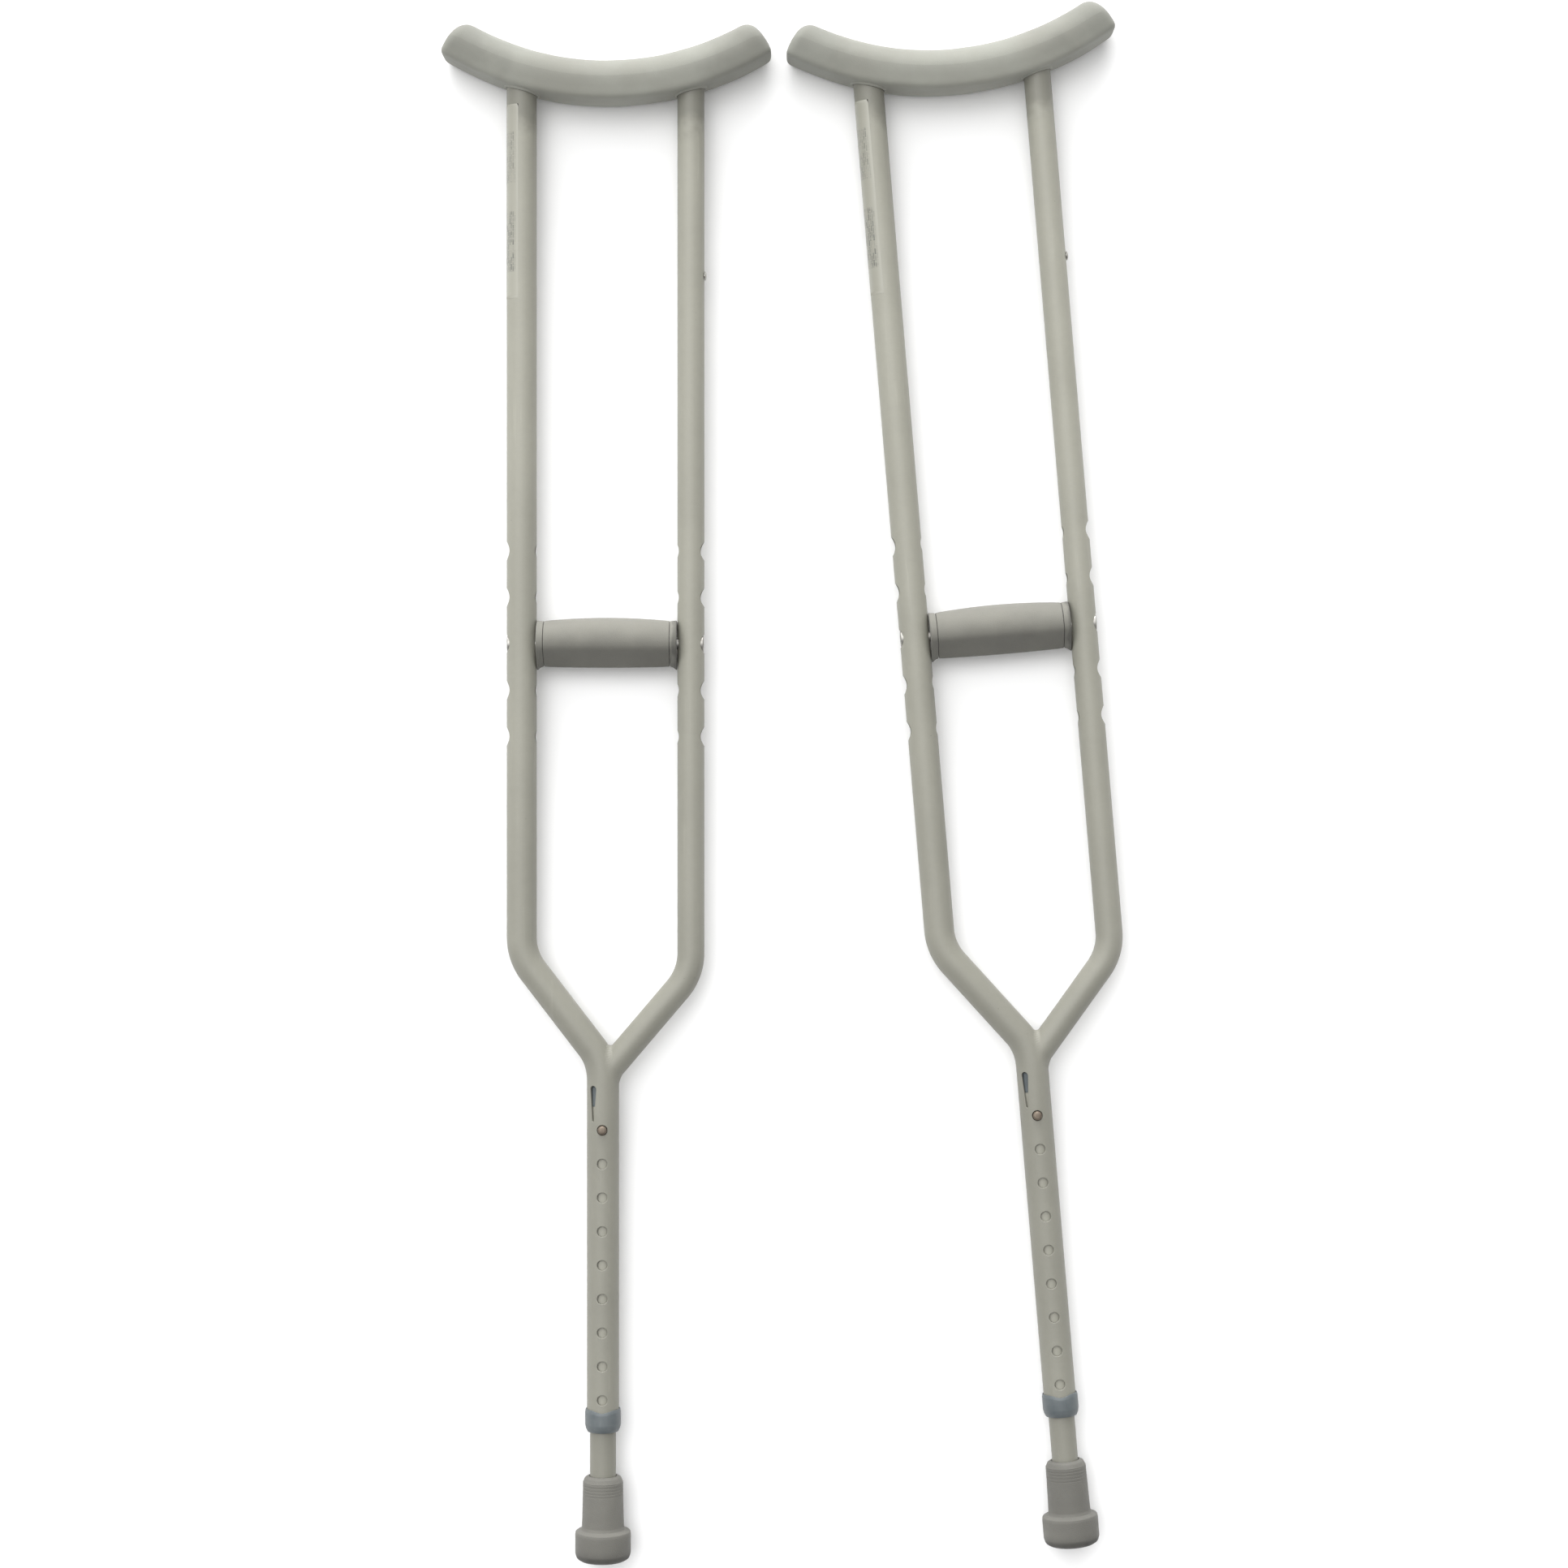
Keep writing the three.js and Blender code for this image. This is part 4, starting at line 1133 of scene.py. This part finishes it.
def corner_drop(distance, radius):
    """How far a rounded corner falls back at this distance from the end."""
    inward = max(0.0, radius - distance)
    return radius - math.sqrt(max(0.0, radius ** 2 - inward ** 2))


def make_pad():
    """A thick moulded crescent: a generously rounded, slightly crowned top, full sides and a tighter
    lower edge, with its ends rounded over. It is shaped in code, the way it would be sculpted."""
    half_depth, half_thick = PAD_DEPTH / 2, 16.0
    mean_r = (PAD_LOWER_R + PAD_UPPER_R) / 2
    half_long = PAD_HALF_ANGLE * mean_r
    # (across, depth), both from -1 to 1; across -1 is the top. The top is a broad round that ends in a
    # crest just below the middle, and the lower part leans back a little to a tight edge.
    front = []
    for k in range(41):
        a = -math.cos(math.pi * k / 40)
        if a < PAD_CREST:
            u = (PAD_CREST - a) / (PAD_CREST + 1)
            front.append((a, (1 - u ** 2.15) ** (1 / 2.15)))
        else:
            u = (a - PAD_CREST) / (1 - PAD_CREST)
            front.append((a, (1 - 0.10 * u ** 1.8) * (1 - u ** 9) ** (1 / 9)))
    line = [(a, q) for a, q in front if q > 0.02]
    outline = [(-1.0, 0.0)] + line + [(1.0, 0.0)] + [(a, -q) for a, q in reversed(line)]
    even = [k / 120 for k in range(120)]
    # Spread the points evenly over the section's real size.
    section = [(a * half_thick, q * half_depth) for a, q in outline + outline[:1]]
    dense = [(a / half_thick, q / half_depth) for a, q in along_line(section, even)]
    ends = [0, 0.25, 0.7, 1.4, 2.3, 3.5, 5.0, 6.8, 9.0, 12.0, 16.0]
    inner = spaced(20, 2 * half_long - 20, 3.2)
    stations = ends + inner + [2 * half_long - e for e in reversed(ends)]
    skin = Skin()
    rings = []

    def ring_at(along, shrink=1.0, beyond=0.0):
        end = min(along, 2 * half_long - along)
        angle = (along - half_long) / half_long * PAD_HALF_ANGLE
        angle += math.copysign(beyond / mean_r, angle)
        upper = PAD_UPPER_R + corner_drop(end, 11.0)
        lower = PAD_LOWER_R - corner_drop(end, 4.0)
        depth = half_depth - corner_drop(end, 6.5)
        middle, half = (upper + lower) / 2, (lower - upper) / 2
        ring = []
        for p, q in dense:
            crown = (0.9 if p < 0 else 0.5) * (1 - q * q)
            radius = middle + shrink * (half * p + crown * p - math.copysign(0.7, p))
            z = shrink * q * (depth - 0.45 * p * p)
            x = PAD_CENTRE_X + radius * math.sin(angle)
            y = PAD_CENTRE_Y - radius * math.cos(angle)
            spot = Vector((x, y, z))
            wave = noise.noise(spot * 0.03) * 0.35 + noise.noise(spot * 0.09) * 0.12
            ring.append((x + wave * math.sin(angle) * 0.5, y - wave * abs(p), z + wave * abs(q) * 0.4))
        return ring

    # How much the rings that close an end shrink, and how far they stand beyond it
    domed = ((0.12, 1.15), (0.35, 1.05), (0.6, 0.8), (0.8, 0.45), (0.92, 0.16))
    rings += [skin.ring(ring_at(0, *step)) for step in domed]
    rings += [skin.ring(ring_at(along)) for along in stations]
    rings += [skin.ring(ring_at(2 * half_long, *step)) for step in reversed(domed)]
    for closing in (rings[0], rings[-1]):
        centre = sum((Vector(skin.points[i]) for i in closing), Vector()) / len(closing)
        skin.bridge(closing, skin.ring([centre]))
    skin.loft(rings)
    return skin


def pocket_cutter():
    """Two rods, a little wider than the rails, that hollow their sockets in the pad."""
    middle_y, length = 1098.5, 38
    work = bmesh.new()
    for x, radius in ((LEFT_RAIL_X, MAIN_R + 0.35), (RIGHT_RAIL_X, SIDE_R + 0.35)):
        place = Matrix.Translation(Vector((x, middle_y, 0)) * MM) @ Matrix.Rotation(math.pi / 2, 4, "X")
        bmesh.ops.create_cone(
            work, cap_ends=True, segments=72, radius1=radius * MM, radius2=radius * MM, depth=length * MM,
            matrix=place,
        )
    mesh = bpy.data.meshes.new("pocket_cutter")
    work.to_mesh(mesh)
    work.free()
    return mesh


def carved(mesh, cutter, name):
    """The mesh with the cutter's volume taken out."""
    body = bpy.data.objects.new("carve_body", mesh)
    tool = bpy.data.objects.new("carve_tool", cutter)
    for obj in (body, tool):
        bpy.context.scene.collection.objects.link(obj)
    step = body.modifiers.new("carve", "BOOLEAN")
    step.operation, step.solver, step.object = "DIFFERENCE", "EXACT", tool
    bpy.context.view_layer.update()
    ready = body.evaluated_get(bpy.context.evaluated_depsgraph_get())
    made = bpy.data.meshes.new_from_object(ready)
    made.name = name
    for obj in (body, tool):
        bpy.data.objects.remove(obj)
    smoothed(made, 50)
    return made


piece(
    "pad_foam", carved(make_pad().mesh("pad_blank"), pocket_cutter(), "pad_foam"), "frame", "pad_rubber",
    replaces=["underarm_pad"],
)


def make_socket_lip(x, rail_r):
    """The thin rolled lip of the pad's rubber round a rail."""

    def bend(radius, height, angle):
        # The lip follows the pad's curved underside.
        px = x + radius * math.cos(angle) - PAD_CENTRE_X
        under = PAD_CENTRE_Y - math.sqrt(PAD_LOWER_R ** 2 - px ** 2)
        return radius, under + height

    # Corners as (out from the rail, height above the pad's underside, rounding)
    profile = rounded([
        (rail_r + out, height, radius) for out, height, radius in (
            (0.22, 3.5, 0), (0.22, -1.1, 0.35), (1.3, -1.1, 0.7),
            (2.4, 0.5, 0.8), (3.6, 1.6, 0), (2.0, 3.5, 0),
        )
    ], closed=True, step=18)
    return turned(profile, 72, centre=(x, 0, 0), closed=True, bend=bend)


piece("left_socket_lip", make_socket_lip(LEFT_RAIL_X, MAIN_R), "frame", "pad_rubber")
piece("right_socket_lip", make_socket_lip(RIGHT_RAIL_X, SIDE_R), "frame", "pad_rubber")

# --- The CAD pieces inside keep their shapes and get real finishes ---

INSIDE = {
    "white_plastic": ("left_rail_plug", "right_rail_plug"),
    "collar_plastic": ("leg_guide",),
    "bare_steel": (
        "pad_yoke", "left_yoke_screw", "right_yoke_screw", "grip_core", "grip_left_nut",
        "grip_right_nut", "button_spring", "tip_washer",
    ),
}
for finish, nodes in INSIDE.items():
    for name in [f"{crutch}_{node}" for crutch in PAIR for node in nodes]:
        frame["nodes"][name].data.materials.clear()
        frame["nodes"][name].data.materials.append(FINISH[finish])

# --- Floor, light and camera, in metres ---

FLOOR_REACH = 90.0
# Straight down from 2.36 m above the tubes' middle height
EYE, LENS = (0.0016, 0.0, 2.381), 71.7
# An even sky and three soft lights as (toward, tightness, strength): a low one from beyond the pads, a
# weak one from the upper left and one overhead
SKY = 0.5
SOFT_BOXES = (
    ((0.0, 1.0, 0.05), 20.0, 20.0),
    ((-0.6, 0.6, 0.5), 6.0, 1.1),
    ((-0.2, 0.3, 0.93), 10.0, 4.0),
)


def make_floor():
    """A white paper floor that reaches past every view."""
    mesh = bpy.data.meshes.new("studio_floor")
    far = FLOOR_REACH
    mesh.from_pydata([(-far, -far, 0), (far, -far, 0), (far, far, 0), (-far, far, 0)], [], [(0, 1, 2, 3)])
    floor = bpy.data.objects.new("studio_floor", mesh)
    bpy.context.scene.collection.objects.link(floor)
    f = Finish("studio_paper")
    tone = f.noise(2.0, 3)
    f.set(
        Base_Color=f.mix(f.level(tone, 0.3, 0.7), (0.92, 0.92, 0.92, 1), (0.94, 0.94, 0.94, 1)),
        Roughness=0.9, Normal=f.bump(f.noise(700, 2), 0.00002, 0.3), Specular_IOR_Level=0.1,
    )
    mesh.materials.append(f.material)


make_floor()

scene = bpy.context.scene
scene.view_settings.view_transform = "Standard"
scene.view_settings.look = "None"


def soft_box(tree, toward, tightness, strength, so_far):
    """Adds a broad soft light from one direction to the world's brightness."""
    dot = tree.nodes.new("ShaderNodeVectorMath")
    dot.operation = "DOT_PRODUCT"
    tree.links.new(tree.nodes.new("ShaderNodeTexCoord").outputs["Generated"], dot.inputs[0])
    dot.inputs[1].default_value = Vector(toward).normalized()
    value = dot.outputs["Value"]
    for operation, other in (
        ("MAXIMUM", 0.0), ("POWER", tightness), ("MULTIPLY", strength), ("ADD", so_far),
    ):
        step = tree.nodes.new("ShaderNodeMath")
        step.operation = operation
        tree.links.new(value, step.inputs[0])
        if isinstance(other, float):
            step.inputs[1].default_value = other
        else:
            tree.links.new(other, step.inputs[1])
        value = step.outputs[0]
    return value


world = bpy.data.worlds.new("studio")
scene.world = world
world.use_nodes = True
sky = SKY
for toward, tightness, strength in SOFT_BOXES:
    sky = soft_box(world.node_tree, toward, tightness, strength, sky)
world.node_tree.links.new(sky, world.node_tree.nodes["Background"].inputs["Color"])

camera = bpy.data.cameras.new("photo_camera")
camera.sensor_width = 36.0
camera.lens = LENS
camera.clip_start, camera.clip_end = 0.05, 200
eye = bpy.data.objects.new("photo_camera", camera)
eye.location = EYE
scene.collection.objects.link(eye)
scene.camera = eye
